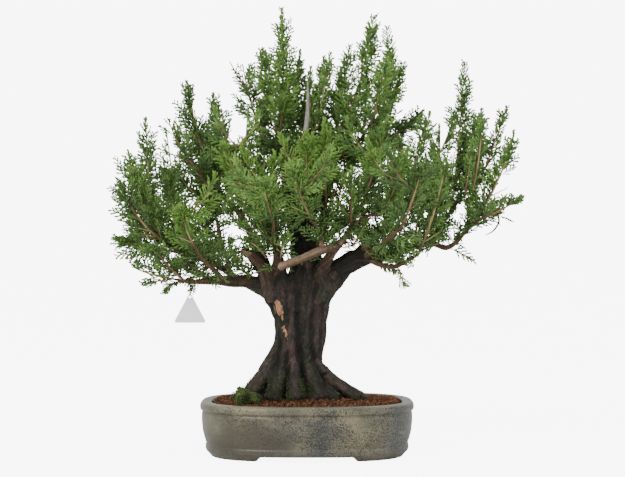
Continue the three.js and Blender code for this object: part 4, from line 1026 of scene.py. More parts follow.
def thick_wood(lines):
    """Trunk and thick limbs, fused in voxels and softened, most of all where they part."""
    solid = Shape()
    solid.add(*trunk_surface())
    for centre, radii in lines.values():
        thick = radii > FUSED_RADIUS
        if thick.any():
            count = len(thick) if thick.all() else max(4, int(np.argmin(thick)))
            solid.add(*tube(centre[:count], radii[:count], 20))
    made = make_mesh("thick_wood", *solid.gathered())
    remesh = made.modifiers.new("voxels", "REMESH")
    remesh.mode = "VOXEL"
    remesh.voxel_size = VOXEL * MM
    apply_modifiers(made)
    crotch = made.vertex_groups.new(name="crotch")
    share = near_crotch(mesh_points(made))
    for step in range(1, 9):
        rows = np.where(np.round(share * 8) == step)[0]
        crotch.add(rows.tolist(), step / 8, "REPLACE")
    soften = made.modifiers.new("soften", "SMOOTH")
    soften.iterations = 3
    blend = made.modifiers.new("blend", "SMOOTH")
    blend.iterations = 30
    blend.vertex_group = "crotch"
    apply_modifiers(made)
    points, normals, triangles = mesh_points(made), mesh_normals(made), mesh_triangles(made.data)
    bpy.data.objects.remove(made)
    return points, normals, triangles


def make_wood():
    """Trunk and limbs with the relief of their bark, and what the bark's material reads at each point."""
    lines = limb_lines()
    shape = Shape()
    points, normals, triangles = thick_wood(lines)
    relief, depth = bark_relief(points, lines)
    # Painted shade: the bark's colour is darker in the low parts of its relief and paler on its ridges
    ridge = np.clip(0.5 + relief / (2.6 * depth), 0, 1)
    shape.add(points + normals * relief[:, None], triangles, ridge=ridge)
    for centre, radii in lines.values():
        shape.add(*tube(centre, radii * 0.97, 9), ridge=0.6)
    for index, row in enumerate(SHOOTS):
        if row[1] < 1:
            stem = stem_of(index, *row)
            line = along_stem(stem, np.linspace(0, stem["bare"] * 1.06, 7))
            radii = np.linspace(min(TWIG_RADIUS, stem["radius"]), 1.9, len(line))
            shape.add(*tube(line, radii, 7), ridge=0.6)
    points, faces, values = shape.gathered()
    along, around, thickness = grain_of(points, lines)
    values["grain"] = np.column_stack([around, along, thickness])
    values["thickness"] = thickness
    values["trunk_grain"] = trunk_place(points)
    values["on_trunk"] = on_trunk(points)
    # Painted shade: the bark's colour is darkened in the front grooves
    values["groove_shade"] = np.clip(groove_depth(*points.T) / 5, 0, 1) * (points[:, 2] < GROOVE_TOP)
    values["mossy"] = moss_mask(points)
    values["peeled"] = peeled_at(points)
    values["torn"] = torn_at(points)
    wood = make_mesh("wood", points, faces, values)
    return dress(wood, bark_material, ("trunk_and_limbs",)), lines


def near_crotch(points):
    """One where the limbs leave the trunk, falling to zero above, below and outwards."""
    height = 1 - smooth_step(14, 34, np.abs(points[:, 2] - CROTCH_HEIGHT))
    return height * (1 - smooth_step(60, 85, from_crotch(points)))


def from_crotch(points):
    """Level distance from the middle of the crotch."""
    return np.hypot(points[:, 0] - CROTCH_MIDDLE[0], points[:, 1] - CROTCH_MIDDLE[1])


def on_trunk(points):
    """One on the trunk, falling to zero along the limbs."""
    outwards = smooth_step(50, 85, from_crotch(points)) * smooth_step(165, 200, points[:, 2])
    return (1 - smooth_step(240, 290, points[:, 2])) * (1 - outwards)


def from_trunk_middle(points, heights):
    """Level place of points round the middle of the trunk."""
    left, right, front, back = trunk_edges(heights)
    return points[:, :2] - np.column_stack([(left + right) / 2, (front + back) / 2])


def trunk_place(points):
    """Place on the trunk without its flare, so that the lines of its bark run down over the roots."""
    flat = from_trunk_middle(points, np.maximum(points[:, 2], TRUNK_PLAIN_TOP))
    reach = np.maximum(np.linalg.norm(flat, axis=1), 1)
    return np.column_stack([flat * np.minimum(1, 42 / reach)[:, None], points[:, 2]])


def bark_relief(points, lines):
    """Height of the bark's strips above its plain surface, and its greatest depth."""
    along, around, thickness = grain_of(points, lines)
    coarse = np.column_stack([around * 0.1, along * 0.013, thickness * 0.05])
    ridged = 1 - np.abs(2 * fine_noise(coarse, 31, 2) - 1)
    strips = fine_noise(np.column_stack([around * 0.3, along * 0.03, thickness * 0.1]), 57, 2)
    depth = np.clip(thickness * 0.075, 0.15, 2.4)
    limb = (ridged - 0.75) * depth * 2 + (strips - 0.5) * depth * 1.4
    place = trunk_place(points)
    folds = 1 - np.abs(2 * fine_noise(place * np.array([0.07, 0.07, 0.009]), 33, 2) - 1)
    patches = fine_noise(place * np.array([0.13, 0.13, 0.05]), 34, 2)
    fibres = noise(place * np.array([0.5, 0.5, 0.05]), 35)
    trunk = (folds - 0.75) * 4 + (patches - 0.5) * 3.4 + (fibres - 0.5) * 1.3
    share = on_trunk(points)
    return limb * (1 - share) + trunk * share, depth * (1 - share) + 2.2 * share


def grain_of(points, lines):
    """Length along, way round and thickness of the nearest limb, in millimetres, at each point."""
    best = np.full(len(points), np.inf)
    along = points[:, 2].copy()
    flat = from_trunk_middle(points, points[:, 2])
    around = np.arctan2(flat[:, 1], flat[:, 0]) * 40
    thickness = np.full(len(points), 40.0)
    for i, (centre, radii) in enumerate(lines.values()):
        ahead, across, third = frames_along(centre)
        steps = length_along(centre)
        low = (centre - radii[:, None] - 4).min(axis=0)
        near = inside_box(points, low, (centre + radii[:, None] + 4).max(axis=0))
        for part in np.array_split(near, max(1, len(near) // 4000)):
            if not len(part):
                continue
            gap = points[part][:, None] - centre[None]
            distance = np.linalg.norm(gap, axis=2) - radii[None]
            j = np.argmin(distance, axis=1)
            found = distance[np.arange(len(part)), j]
            closer = found < best[part]
            rows, j = part[closer], j[closer]
            out = points[rows] - centre[j]
            turn = np.arctan2(np.sum(out * third[j], axis=1), np.sum(out * across[j], axis=1))
            best[rows] = found[closer]
            along[rows] = steps[j] + np.sum(out * ahead[j], axis=1) + 300 * (i + 1)
            around[rows] = turn * np.maximum(radii[j], 3)
            thickness[rows] = radii[j]
    return along, around, thickness


def inside_box(points, low, high):
    return np.where(np.all((points > low) & (points < high), axis=1))[0]


def near_line(points, line, radius):
    """One on a line of points, falling to zero at a radius from it."""
    fine = np.concatenate([np.linspace(a, b, 8) for a, b in zip(line[:-1], line[1:])])
    away = np.min(np.linalg.norm(points[:, None] - fine[None], axis=2), axis=1)
    return 1 - smooth_step(radius * 0.55, radius, away)


def peeled_at(points):
    """Bare pale wood: the dead spike, cut ends and a peeled strip."""
    found = np.zeros(len(points))
    for line, radius, strength in PEELED:
        line = np.array(line, float)
        near = inside_box(points, line.min(axis=0) - radius, line.max(axis=0) + radius)
        if len(near):
            found[near] = np.maximum(found[near], strength * near_line(points[near], line, radius))
    return found


def torn_at(points):
    """Strips of torn bark on the front left of the trunk, the thinner one broken up."""
    found = np.zeros(len(points))
    near = inside_box(points, TORN_LOW, TORN_HIGH)
    for line, radius in TORN:
        ragged = points[near] + 3 * (noise(points[near] * np.array([0.5, 0.5, 0.14]), 3)[:, None] - 0.5)
        ragged[:, 1] = 0
        share = near_line(ragged, np.array(line, float), radius)
        if radius < 4:
            share *= noise(points[near] * np.array([0.2, 0.2, 0.13]), 8) > 0.36
        found[near] = np.maximum(found[near], share)
    return found


# Pot


def oval(inset, sides):
    """Ring of the pot's outline, moved inwards by an inset."""
    turn = turns(sides)
    x, y = np.cos(turn), np.sin(turn)
    reach = (np.abs(x) ** POT_ROUNDNESS + np.abs(y) ** POT_ROUNDNESS) ** (-1 / POT_ROUNDNESS)
    return (POT_HALF_LENGTH - inset) * x * reach, (POT_HALF_WIDTH - inset) * y * reach


def rounded(profile):
    """Profile with its corners rounded and its long stretches divided, as rows of inset and height."""
    profile = np.array(profile, float)
    found = [profile[0]]
    for before, corner, after in zip(profile[:-2], profile[1:-1], profile[2:]):
        into, away = corner - before, after - corner
        cut = min(0.45 * np.linalg.norm(into), 0.45 * np.linalg.norm(away), 3.0)
        start, end = corner - unit(into) * cut, corner + unit(away) * cut
        found += list(bow(start, corner, end, np.linspace(0, 1, 5)))
    found.append(profile[-1])
    rows = []
    for a, b in zip(found[:-1], found[1:]):
        count = max(1, int(np.linalg.norm(b - a) / 3.6))
        rows += [a + (b - a) * i / count for i in range(count)]
    return np.array(rows + [found[-1]])


def make_pot():
    """Glazed pot, slightly uneven, with gaps between its feet and two drain holes."""
    profile = rounded(POT_OUTSIDE + POT_INSIDE)
    rings = []
    for inset, z in profile:
        x, y = oval(inset, POT_SIDES)
        turn = np.arctan2(y, x)
        uneven = 1 + 0.0016 * (0.35 * np.sin(3 * turn + 0.7) + 0.2 * np.sin(7 * turn + z * 0.05))
        rings.append(np.column_stack([x * uneven, y * uneven, np.full(POT_SIDES, z)]))
    rings = np.array(rings)
    foot_top = FOOT_HEIGHT - 0.6
    for row, (_inset, z) in enumerate(profile):
        if z < foot_top and row < len(profile) // 2:
            x, y = np.abs(rings[row, :, 0]), np.abs(rings[row, :, 1])
            front_gap = 1 - smooth_step(FOOT_GAP_FRONT - 4, FOOT_GAP_FRONT + 5, x)
            end_gap = 1 - smooth_step(FOOT_GAP_END - 3, FOOT_GAP_END + 4, y)
            rings[row, :, 2] = z + (foot_top - z) * np.maximum(front_gap, end_gap)
    made = make_mesh("glazed_pot", *closed_rings(rings, [[0, 0, FOOT_HEIGHT + 1], [0, 0, FLOOR_TOP]]))
    turn = turns(DRAIN_SIDES)
    for side in (-1, 1):
        x = side * DRAIN_PLACE + DRAIN_RADIUS * np.cos(turn)
        ring = np.column_stack([x, DRAIN_RADIUS * np.sin(turn), turn * 0])
        points = np.vstack([ring + UP * 2, ring + UP * (FLOOR_TOP + 8)])
        bottom = np.arange(DRAIN_SIDES)[None, ::-1]
        top = np.arange(DRAIN_SIDES, 2 * DRAIN_SIDES)[None]
        cutter = make_mesh("drain_cutter", points, [ring_faces(2, DRAIN_SIDES), bottom, top])
        cut = made.modifiers.new("drain", "BOOLEAN")
        cut.operation = "DIFFERENCE"
        cut.object = cutter
        apply_modifiers(made)
        bpy.data.objects.remove(cutter)
    dress(made, glaze_material, ("pot",))


# Soil


def soil_height(x, y):
    """Height of the soil, which is mounded round the trunk."""
    away = np.hypot((x - MOUND_MIDDLE[0]) / MOUND_HALF[0], (y - MOUND_MIDDLE[1]) / MOUND_HALF[1])
    return SOIL_LEVEL + SOIL_RISE * np.exp(-np.maximum(0, away - 1) * MOUND_HALF[1] / MOUND_FADE)


def inside_trunk(x, y):
    left, right, front, back = trunk_edges(TRUNK_PLAIN_TOP)
    across = (x - (left + right) / 2) / ((right - left) / 2)
    return math.hypot(across, (y - (front + back) / 2) / ((back - front) / 2)) < 0.82


def ball():
    """Points and triangles of a ball of 80 faces."""
    bpy.ops.mesh.primitive_ico_sphere_add(subdivisions=1, radius=1)
    made = bpy.context.object
    points = read_triples(made.data.vertices, "co").astype(float)
    triangles = mesh_triangles(made.data)
    bpy.data.objects.remove(made)
    return points, triangles


def make_soil():
    """Bed of soil, covered in loose grains of baked clay."""
    draw = np.random.default_rng(SOIL_SEED)
    shape = Shape()
    x, y = oval(RIM_WIDTH + 0.4, SOIL_SIDES)
    rings = []
    for share in np.linspace(0, 1, SOIL_RINGS):
        height = soil_height(x * share, y * share) - 2.6
        height = height + (SOIL_AT_RIM - 2.4 - height) * smooth_step(0.93, 1, share)
        rings.append(np.column_stack([x * share, y * share, height]))
    points = np.concatenate(rings)
    points[:, 2] += 0.8 * (noise(points * 0.2, 9) - 0.5)
    foot = rings[-1] - UP * 12
    shape.add(np.vstack([points, foot]), [ring_faces(SOIL_RINGS + 1, SOIL_SIDES)[:, ::-1]], tone=0.1)
    grain, triangles = ball()
    inset = RIM_WIDTH + 2.2
    grains = 0
    while grains < GRAIN_COUNT:
        u, v = draw.uniform(-1, 1, 2)
        x, y = u * (POT_HALF_LENGTH - inset), v * (POT_HALF_WIDTH - inset)
        if abs(u) ** POT_ROUNDNESS + abs(v) ** POT_ROUNDNESS > 1 or inside_trunk(x, y):
            continue
        size = draw.uniform(*GRAIN_RADIUS) * (1.3 if draw.random() < 0.08 else 1)
        scale = size * draw.uniform(0.75, 1.2, 3)
        bumpy = grain * (1 + draw.normal(0, 0.09, (len(grain), 1)))
        turn = Matrix.Rotation(draw.uniform(0, 6.28), 3, Vector(draw.normal(size=3)))
        z = soil_height(x, y) + draw.uniform(-2.6, 0.2)
        z -= 1.5 * smooth_step(0.94, 1.0, max(abs(u), abs(v)))
        tone = clamp(draw.normal(0.5, 0.22), 0, 1)
        shape.add((bumpy * scale) @ np.array(turn) + [x, y, z], triangles, tone=tone)
        grains += 1
    shape.piece("soil_granules", soil_material, ("soil",), smooth=False)


# Moss


def add_tufts(shape, places, normals, draw, sizes):
    """Small pointed shoots standing on a surface."""
    for place, normal in zip(places, normals):
        lean = unit(normal + draw.normal(0, 0.35, 3) + UP * 0.35)
        size = draw.uniform(*sizes)
        side = unit(np.cross(lean, [0.3, 1.0, 0.2]))
        third = np.cross(lean, side)
        width = size * draw.uniform(0.16, 0.26)
        middle = place + lean * size * 0.45
        ring = [middle + width * (side * math.cos(a) + third * math.sin(a)) for a in (0.3, 2.4, 4.5)]
        points = np.array([place - lean * 0.6, *ring, place + lean * size])
        faces = np.array([[0, 2, 1], [0, 3, 2], [0, 1, 3], [4, 1, 2], [4, 2, 3], [4, 3, 1]])
        tone = clamp(draw.normal(0.5, 0.2), 0, 1)
        shape.add(points, faces, tone=np.array([0, 0.5, 0.5, 0.5, 1]) * 0.6 + 0.4 * tone)


def make_moss(wood):
    """Lumpy cushion of moss beside the trunk, and moss that creeps over the trunk's foot."""
    draw = np.random.default_rng(MOSS_SEED)
    shape = Shape()
    turn = turns(MOSS_SIDES)
    rings = []
    for u in np.linspace(0, 1, MOSS_ROWS):
        lobes = 1 + 0.1 * np.sin(3 * turn + 1) + 0.05 * np.sin(7 * turn + 4 * u)
        reach = np.sqrt(1 - u**2.4) * 0.97 * lobes
        x = MOSS_CENTRE[0] + MOSS_HALF[0] * reach * np.cos(turn)
        y = MOSS_CENTRE[1] + MOSS_HALF[1] * reach * np.sin(turn)
        z = MOSS_CENTRE[2] - 1.5 + (MOSS_HALF[2] - 1) * u
        rings.append(np.column_stack([x, y, np.full(MOSS_SIDES, z)]))
    points = np.concatenate(rings)
    middle = np.array(MOSS_CENTRE) + UP * 3
    lumps = 0.84 + 0.95 * (noise(points * 0.13, 4)[:, None] - 0.5)
    fall = smooth_step(-14, 14, points[:, 0] - MOSS_CENTRE[0])
    points = middle + (points - middle) * lumps
    points[:, 2] = middle[2] + (points[:, 2] - middle[2]) * (1.25 - 0.6 * fall)
    shape.add(points, [ring_faces(MOSS_ROWS, MOSS_SIDES)], tone=0.1)
    pick = draw.integers(0, len(points), TUFT_COUNT)
    places = points[pick] + draw.normal(0, 0.9, (len(pick), 3))
    add_tufts(shape, places, unit(places - middle), draw, TUFT_HEIGHTS)
    shape.piece("moss_tufts", moss_material, ("moss_cushion",))
    creeping = Shape()
    points, normals = mesh_points(wood), mesh_normals(wood)
    pick = np.where(draw.random(len(points)) < moss_mask(points) * 0.55)[0]
    places = points[pick] + draw.normal(0, 0.5, (len(pick), 3))
    add_tufts(creeping, places, normals[pick], draw, CREEPING_HEIGHTS)
    creeping.piece("moss_on_trunk", moss_material)


def moss_mask(points):
    """Where moss creeps over the foot of the trunk: most on the front left, a little on the right."""
    x, y, z = points[:, 0], points[:, 1], points[:, 2]
    patchy = noise(points * 0.11, 77) + 0.35 * noise(points * 0.4, 78)
    low_left = (1 - smooth_step(100, 128, z)) * (1 - smooth_step(-2, 30, x)) * (y < 40)
    low_right = (1 - smooth_step(90, 100, z)) * smooth_step(30, 45, x) * 0.8
    back = (1 - smooth_step(92, 108, z)) * (y > 20) * 0.7
    cover = np.maximum(np.maximum(low_left, low_right), back) * (z > 78)
    return smooth_step(0.42, 0.7, patchy) * cover


# Tag


def make_tag():
    """Blank hanging tag: a rounded triangle with soft edges and an eyelet hole."""
    height = TAG_SIZE * 0.94
    corners = np.array([[0, 0], [-TAG_SIZE / 2, -height], [TAG_SIZE / 2, -height]], float)
    outline = []
    for i, corner in enumerate(corners):
        before, after = corners[i - 1], corners[(i + 1) % 3]
        start = corner + unit(before - corner) * TAG_CORNER
        finish = corner + unit(after - corner) * TAG_CORNER
        outline += list(bow(start, corner, finish, np.linspace(0, 1, 7)))
        onwards = after + unit(corner - after) * TAG_CORNER - finish
        outline += [finish + onwards * t for t in np.linspace(0, 1, 9)[1:-1]]
    outline = np.array(outline)
    hole_middle = np.array([0, -TAG_HOLE_DEPTH])
    hole = hole_middle + unit(outline - hole_middle) * TAG_HOLE_RADIUS
    middle = outline * 0.5 + hole * 0.5
    rim = outline + unit(hole_middle - outline) * 0.5
    half = TAG_THICK / 2
    layers = [(hole, -half), (middle, -half), (rim, -half), (outline, -half * 0.35)]
    layers += [(outline, half * 0.35), (rim, half), (middle, half), (hole, half), (hole, -half)]
    top = TIE_BOTTOM - TIE_ROUND + TIE_RADIUS + 0.3 + TAG_HOLE_DEPTH - TAG_HOLE_RADIUS
    shape = Shape()
    rings = []
    for flat, depth in layers:
        y = np.full(len(flat), TWIG_PLACE[1] + depth)
        rings.append(np.column_stack([TWIG_PLACE[0] + flat[:, 0], y, top + flat[:, 1]]))
    shape.add(np.concatenate(rings), ring_faces(len(layers), len(outline)))
    shape.piece("blank_tag", tag_material, ("tag",))


def make_tie():
    """Thin loop over the twig and through the hole of the tag."""
    turn = np.linspace(0, math.pi, 13)
    top = np.column_stack([np.cos(turn) * TIE_ROUND, TIE_TOP + np.sin(turn) * TIE_ROUND])
    low = np.column_stack([-np.cos(turn) * TIE_ROUND, TIE_BOTTOM - np.sin(turn) * TIE_ROUND])
    path = np.vstack([top, low])
    ahead = unit(np.roll(path, -1, axis=0) - np.roll(path, 1, axis=0))
    out = np.column_stack([ahead[:, 1], -ahead[:, 0]])
    across, outwards = TIE_RADIUS * np.cos(turns(TIE_SIDES)), TIE_RADIUS * np.sin(turns(TIE_SIDES))
    rings = []
    for (y, z), (oy, oz) in zip(path, out):
        rings.append(np.column_stack([
            TWIG_PLACE[0] + across, TWIG_PLACE[1] + y + outwards * oy, z + outwards * oz,
        ]))
    rings.append(rings[0])
    shape = Shape()
    shape.add(np.concatenate(rings), ring_faces(len(rings), TIE_SIDES))
    shape.piece("tag_cord_loop", tie_material, ("tag_tie",))


# Materials


def linear(color):
    """Colour given as 0 to 255 screen values, as the linear colour that shaders take."""
    parts = [c / 255 for c in color]
    return (*[c / 12.92 if c <= 0.04045 else ((c + 0.055) / 1.055) ** 2.4 for c in parts], 1.0)


class Signal:
    """Output of a node. Plus, minus, times and divide add a node, so a material reads as a formula."""

    def __init__(self, nodes, socket):
        self.nodes = nodes
        self.socket = socket

    def __add__(self, other):
        return self.nodes.math("ADD", self, other)

    def __sub__(self, other):
        return self.nodes.math("SUBTRACT", self, other)

    def __rsub__(self, other):
        return self.nodes.math("SUBTRACT", other, self)

    def __mul__(self, other):
        return self.nodes.math("MULTIPLY", self, other)

    def __truediv__(self, other):
        return self.nodes.math("DIVIDE", self, other)


class Nodes:
    """Short way to wire a material's nodes. Settings are for the inputs of its shader."""

    def __init__(self, name, settings):
        self.material = bpy.data.materials.new(name)
        self.material.use_nodes = True
        self.tree = self.material.node_tree
        self.shader = self.tree.nodes["Principled BSDF"]
        for key, value in settings.items():
            self.shader.inputs[key].default_value = value

    def feed(self, socket, value):
        if isinstance(value, Signal):
            self.tree.links.new(value.socket, socket)
        else:
            socket.default_value = value

    def node(self, kind, inputs=None, output=0, **settings):
        made = self.tree.nodes.new(kind)
        for key, value in settings.items():
            setattr(made, key, value)
        for key, value in (inputs or {}).items():
            self.feed(made.inputs[key], value)
        return Signal(self, made.outputs[output])

    def value(self, name):
        return self.node("ShaderNodeAttribute", output="Fac", attribute_name=name)

    def vector(self, name):
        return self.node("ShaderNodeAttribute", output="Vector", attribute_name=name)

    def place(self):
        return self.node("ShaderNodeTexCoord", output="Object")

    def along(self, axis):
        return self.node("ShaderNodeSeparateXYZ", {"Vector": self.place()}, axis)

    def math(self, operation, a, b=0.0):
        return self.node("ShaderNodeMath", {0: a, 1: b}, operation=operation)

    def scaled(self, vector, scale):
        return self.node("ShaderNodeVectorMath", {0: vector, 1: scale}, operation="MULTIPLY")

    def noise(self, vector, scale, detail=3.0, roughness=0.55):
        inputs = {"Vector": vector, "Scale": scale, "Detail": detail, "Roughness": roughness}
        return self.node("ShaderNodeTexNoise", inputs, "Fac")

    def between(self, value, low, high, start=0.0, end=1.0):
        """Start below low and end above high, with a smooth step between them."""
        inputs = {"Value": value, "From Min": low, "From Max": high, "To Min": start, "To Max": end}
        return self.node("ShaderNodeMapRange", inputs, interpolation_type="SMOOTHSTEP")

    def ramp(self, value, stops):
        """Colour of a value, from rows of a value and its colour."""
        made = self.tree.nodes.new("ShaderNodeValToRGB")
        self.feed(made.inputs["Fac"], value)
        elements = made.color_ramp.elements
        while len(elements) < len(stops):
            elements.new(0.5)
        for element, (place, color) in zip(elements, stops):
            element.position = place
            element.color = linear(color)
        return Signal(self, made.outputs["Color"])

    def mix(self, share, first, second):
        """Second colour over the first, as far as the share says."""
        second = second if isinstance(second, Signal) else linear(second)
        return self.node("ShaderNodeMix", {0: share, 6: first, 7: second}, 2, data_type="RGBA")

    def bump(self, height, distance, strength):
        inputs = {"Height": height, "Distance": distance, "Strength": strength}
        self.feed(self.shader.inputs["Normal"], self.node("ShaderNodeBump", inputs))

    def finish(self, color, roughness=None):
        self.feed(self.shader.inputs["Base Color"], color)
        if roughness is not None:
            self.feed(self.shader.inputs["Roughness"], roughness)
        return self.material


def make_foliage_material():
    """Scale leaves with painted shade that darkens them deep in a spray, on golden stems with brown patches.
    """
    n = Nodes("scale_leaves", {"Roughness": 0.55, "Specular IOR Level": 0.35})
    outer, age = n.value("outer"), n.value("age")
    # Painted shade: leaves are darker deep in each spray.
    level = outer * 0.5 + n.value("tint") * 0.42 + (n.noise(n.place(), 90.0, 2.0) - 0.6) * 0.5
    greens = [(0.1, (56, 74, 44)), (0.42, (102, 136, 74)), (0.68, (136, 176, 86)), (0.95, (174, 208, 108))]
    fresh = n.ramp(outer, [(0.1, (72, 108, 40)), (0.55, (112, 156, 58)), (1.0, (154, 190, 86))])
    green = n.mix(n.value("young") * 0.75, n.ramp(level, greens), fresh)
    golds = [(0.12, (112, 130, 62)), (0.35, (196, 176, 116)), (0.7, (208, 176, 128)), (1.0, (148, 124, 92))]
    brown = n.between(n.noise(n.place(), 14.0, 2.0), 0.42, 0.56, 0.0, 0.75)
    stem = n.mix(brown, n.ramp(age, golds), (124, 92, 74))
    n.bump(n.noise(n.place(), 900.0, 2.0), 0.0006, 0.6)
    return n.finish(n.mix(n.between(age, 0.08, 0.3), green, stem))


def make_bark_material():
    """Dark fibrous bark with purple and green patches, browner on thin limbs, pale where it is gone, with
    painted shade in its grooves, in the low parts of its relief and under the crown.
    """
    n = Nodes("fibrous_bark", {"Roughness": 0.85})
    share, thickness = n.value("on_trunk"), n.value("thickness")
    grain, trunk, place = n.vector("grain"), n.vector("trunk_grain"), n.place()

    def either(limb_scale, trunk_scale, detail, roughness):
        """Noise drawn out along each limb, and down the trunk."""
        on_limb = n.noise(n.scaled(grain, limb_scale), 1.0, detail, roughness)
        low = n.noise(n.scaled(trunk, trunk_scale), 1.0, detail, roughness)
        return n.between(share, 0.0, 1.0, on_limb, low)

    strips = either((0.3, 0.022, 0.05), (0.3, 0.3, 0.026), 4.0, 0.6)
    fibres = either((1.6, 0.07, 0.1), (1.5, 1.5, 0.08), 3.0, 0.6)
    flakes = either((0.22, 0.06, 0.05), (0.2, 0.2, 0.08), 4.0, 0.7)
    crumbs = n.noise(n.scaled(place, (1.0, 1.0, 0.6)), 330.0, 3.0, 0.7)
    # The relief adds its painted shade to the bark's level.
    level = strips * 0.4 + fibres * 0.3 + n.value("ridge") * 0.3 + (flakes - 0.5) * 0.5
    # The front grooves get their painted shade here.
    level = level + (crumbs - 0.5) * 0.45 - n.value("groove_shade") * 0.2
    greys = [(0.3, (18, 16, 12)), (0.46, (42, 37, 29)), (0.58, (66, 58, 48)), (0.76, (108, 100, 88))]
    purple = n.ramp(level, [(0.3, (26, 18, 16)), (0.5, (66, 49, 45)), (0.74, (110, 88, 80))])
    green = n.ramp(level, [(0.3, (12, 14, 9)), (0.5, (36, 39, 26)), (0.74, (78, 80, 58))])
    patches = n.noise(n.scaled(place, (1.0, 1.0, 0.45)), 34.0, 3.0)
    color = n.mix(n.between(patches, 0.48, 0.6, 0.0, 0.85), n.ramp(level, greys), purple)
    patches = n.noise(n.scaled(place, (1.2, 1.0, 0.5)), 27.0, 4.0, 0.65)
    color = n.mix(n.between(patches, 0.5, 0.62, 0.0, 0.9), color, green)
    # Painted shade: the trunk and thick limbs are darkened just under the crown.
    crown_shade = n.between(n.along("Z"), 0.236, 0.285) * n.between(thickness, 9.0, 16.0)
    color = n.mix(crown_shade * 0.7, color, (20, 20, 14))
    twig = n.ramp(level, [(0.3, (66, 46, 32)), (0.5, (108, 80, 56)), (0.7, (150, 120, 90))])
    color = n.mix(n.between(thickness, 2.2, 14.0, 0.9, 0.0) * (1.0 - share), color, twig)
    mossy = n.value("mossy") * n.between(n.noise(place, 170.0, 3.0), 0.4, 0.6)
    color = n.mix(mossy * 0.85, color, (40, 48, 16))
    bare = n.ramp(level, [(0.3, (116, 90, 72)), (0.5, (178, 146, 120)), (0.7, (212, 188, 164))])
    silver = n.ramp(level, [(0.3, (112, 106, 98)), (0.5, (176, 168, 158)), (0.7, (216, 210, 202))])
    peeled = n.value("peeled")
    color = n.mix(peeled, color, n.mix(n.between(peeled, 0.7, 0.9), bare, silver))
    orange = n.ramp(level, [(0.3, (124, 80, 54)), (0.5, (190, 140, 104)), (0.7, (222, 186, 150))])
    color = n.mix(n.between(n.value("torn"), 0.2, 0.5), color, orange)
    n.bump(strips * 0.5 + fibres * 0.3 + flakes * 0.6, 0.005, 0.9)
    return n.finish(color)


def make_glaze_material():
    """Grey-green glaze: clouded, stained on the front left, cooler in the middle, with dark specks and a
    painted highlight along the top of the rim.
    """
    n = Nodes("speckled_glaze", {"Coat Weight": 0.3, "Coat Roughness": 0.25})
    place, x, z = n.place(), n.along("X"), n.along("Z")
    cloud = n.noise(place, 15.0, 5.0, 0.6)
    color = n.ramp(cloud, [(0.32, (88, 87, 70)), (0.48, (112, 108, 86)), (0.62, (142, 134, 104))])
    stain = n.noise(n.scaled(place, (1.0, 1.0, 1.5)), 20.0, 4.0, 0.6)
    sideways, upwards = (x + 0.098) / 0.062, (z - 0.03) / 0.03
    away = sideways * sideways + upwards * upwards + (stain - 0.5) * 4.0
    color = n.mix(n.between(away, 0.1, 1.7, 0.72, 0.0), color, (64, 57, 44))
    middle = n.between(n.math("ABSOLUTE", x + 0.006), 0.01, 0.062, 1.0, 0.0)
    middle = middle * n.between(z, 0.074, 0.05, 0.15, 1.0)
    thick = n.math("MAXIMUM", middle, n.between(x, 0.085, 0.12))
    cool = n.between(n.noise(n.scaled(place, (1.0, 1.0, 1.2)), 14.0, 4.0), 0.46, 0.62)
    color = n.mix((cool + 0.3) * (thick * 0.6), color, (82, 86, 88))
    dense = n.noise(n.scaled(place, (1.0, 1.0, 1.2)), 17.0, 3.0)
    dense = dense + (thick + n.between(x, -0.1, -0.03)) * 0.065
    fleck = n.between(n.noise(place, 640.0, 1.0, 0.5) + dense * 0.5, 0.83, 0.88)
    blotch = n.between(n.noise(place, 330.0, 1.5, 0.5) + dense * 0.6, 0.97, 1.03)
    color = n.mix(fleck * 0.85, color, (34, 36, 34))
    color = n.mix(blotch * 0.7, color, (40, 44, 46))
    # Painted highlight: a pale band along the top of the rim.
    rim_highlight = n.between(z, 0.0788, 0.0815)
    color = n.mix(rim_highlight * 0.25, color, (170, 164, 142))
    foot = n.between(z, 0.02, 0.006, 0.0, 0.45) * n.between(cloud, 0.35, 0.6)
    color = n.mix(foot, color, (70, 64, 52))
    n.bump(n.noise(place, 60.0, 3.0) + fleck * -0.2, 0.0012, 0.5)
    return n.finish(color, n.between(cloud, 0.3, 0.7, 0.32, 0.5))


def make_soil_material():
    n = Nodes("baked_clay_granules", {"Roughness": 0.92})
    tone = n.value("tone") + (n.noise(n.place(), 500.0) - 0.5) * 0.5
    browns = [(0.05, (40, 24, 13)), (0.35, (84, 50, 29)), (0.65, (116, 72, 42)), (0.95, (152, 110, 72))]
    n.bump(n.noise(n.place(), 900.0, 3.0), 0.0008, 0.8)
    return n.finish(n.ramp(tone, browns))


def make_moss_material():
    n = Nodes("moss", {"Roughness": 0.9, "Sheen Weight": 0.2})
    tone = n.value("tone") + (n.noise(n.place(), 75.0) - 0.5) * 1.3
    greens = [(0.05, (14, 19, 6)), (0.4, (40, 54, 14)), (0.7, (76, 98, 24)), (1.0, (122, 138, 40))]
    return n.finish(n.ramp(tone, greens))


def make_tag_material():
    """Frosted plastic that lets some light through, with a faint painted glow from a white emission."""
    # Painted glow: a faint white emission makes the tag shine by itself.
    glow = {"Transmission Weight": 0.15, "Emission Color": (1, 1, 1, 1), "Emission Strength": 0.4}
    n = Nodes("frosted_plastic", {"Roughness": 0.4, "IOR": 1.45, **glow})
    haze = n.noise(n.place(), 120.0, 3.0)
    n.bump(n.noise(n.place(), 700.0, 2.0), 0.0003, 0.4)
    color = n.ramp(haze, [(0.3, (240, 244, 243)), (0.7, (250, 252, 251))])
    return n.finish(color, n.between(haze, 0.3, 0.7, 0.34, 0.5))


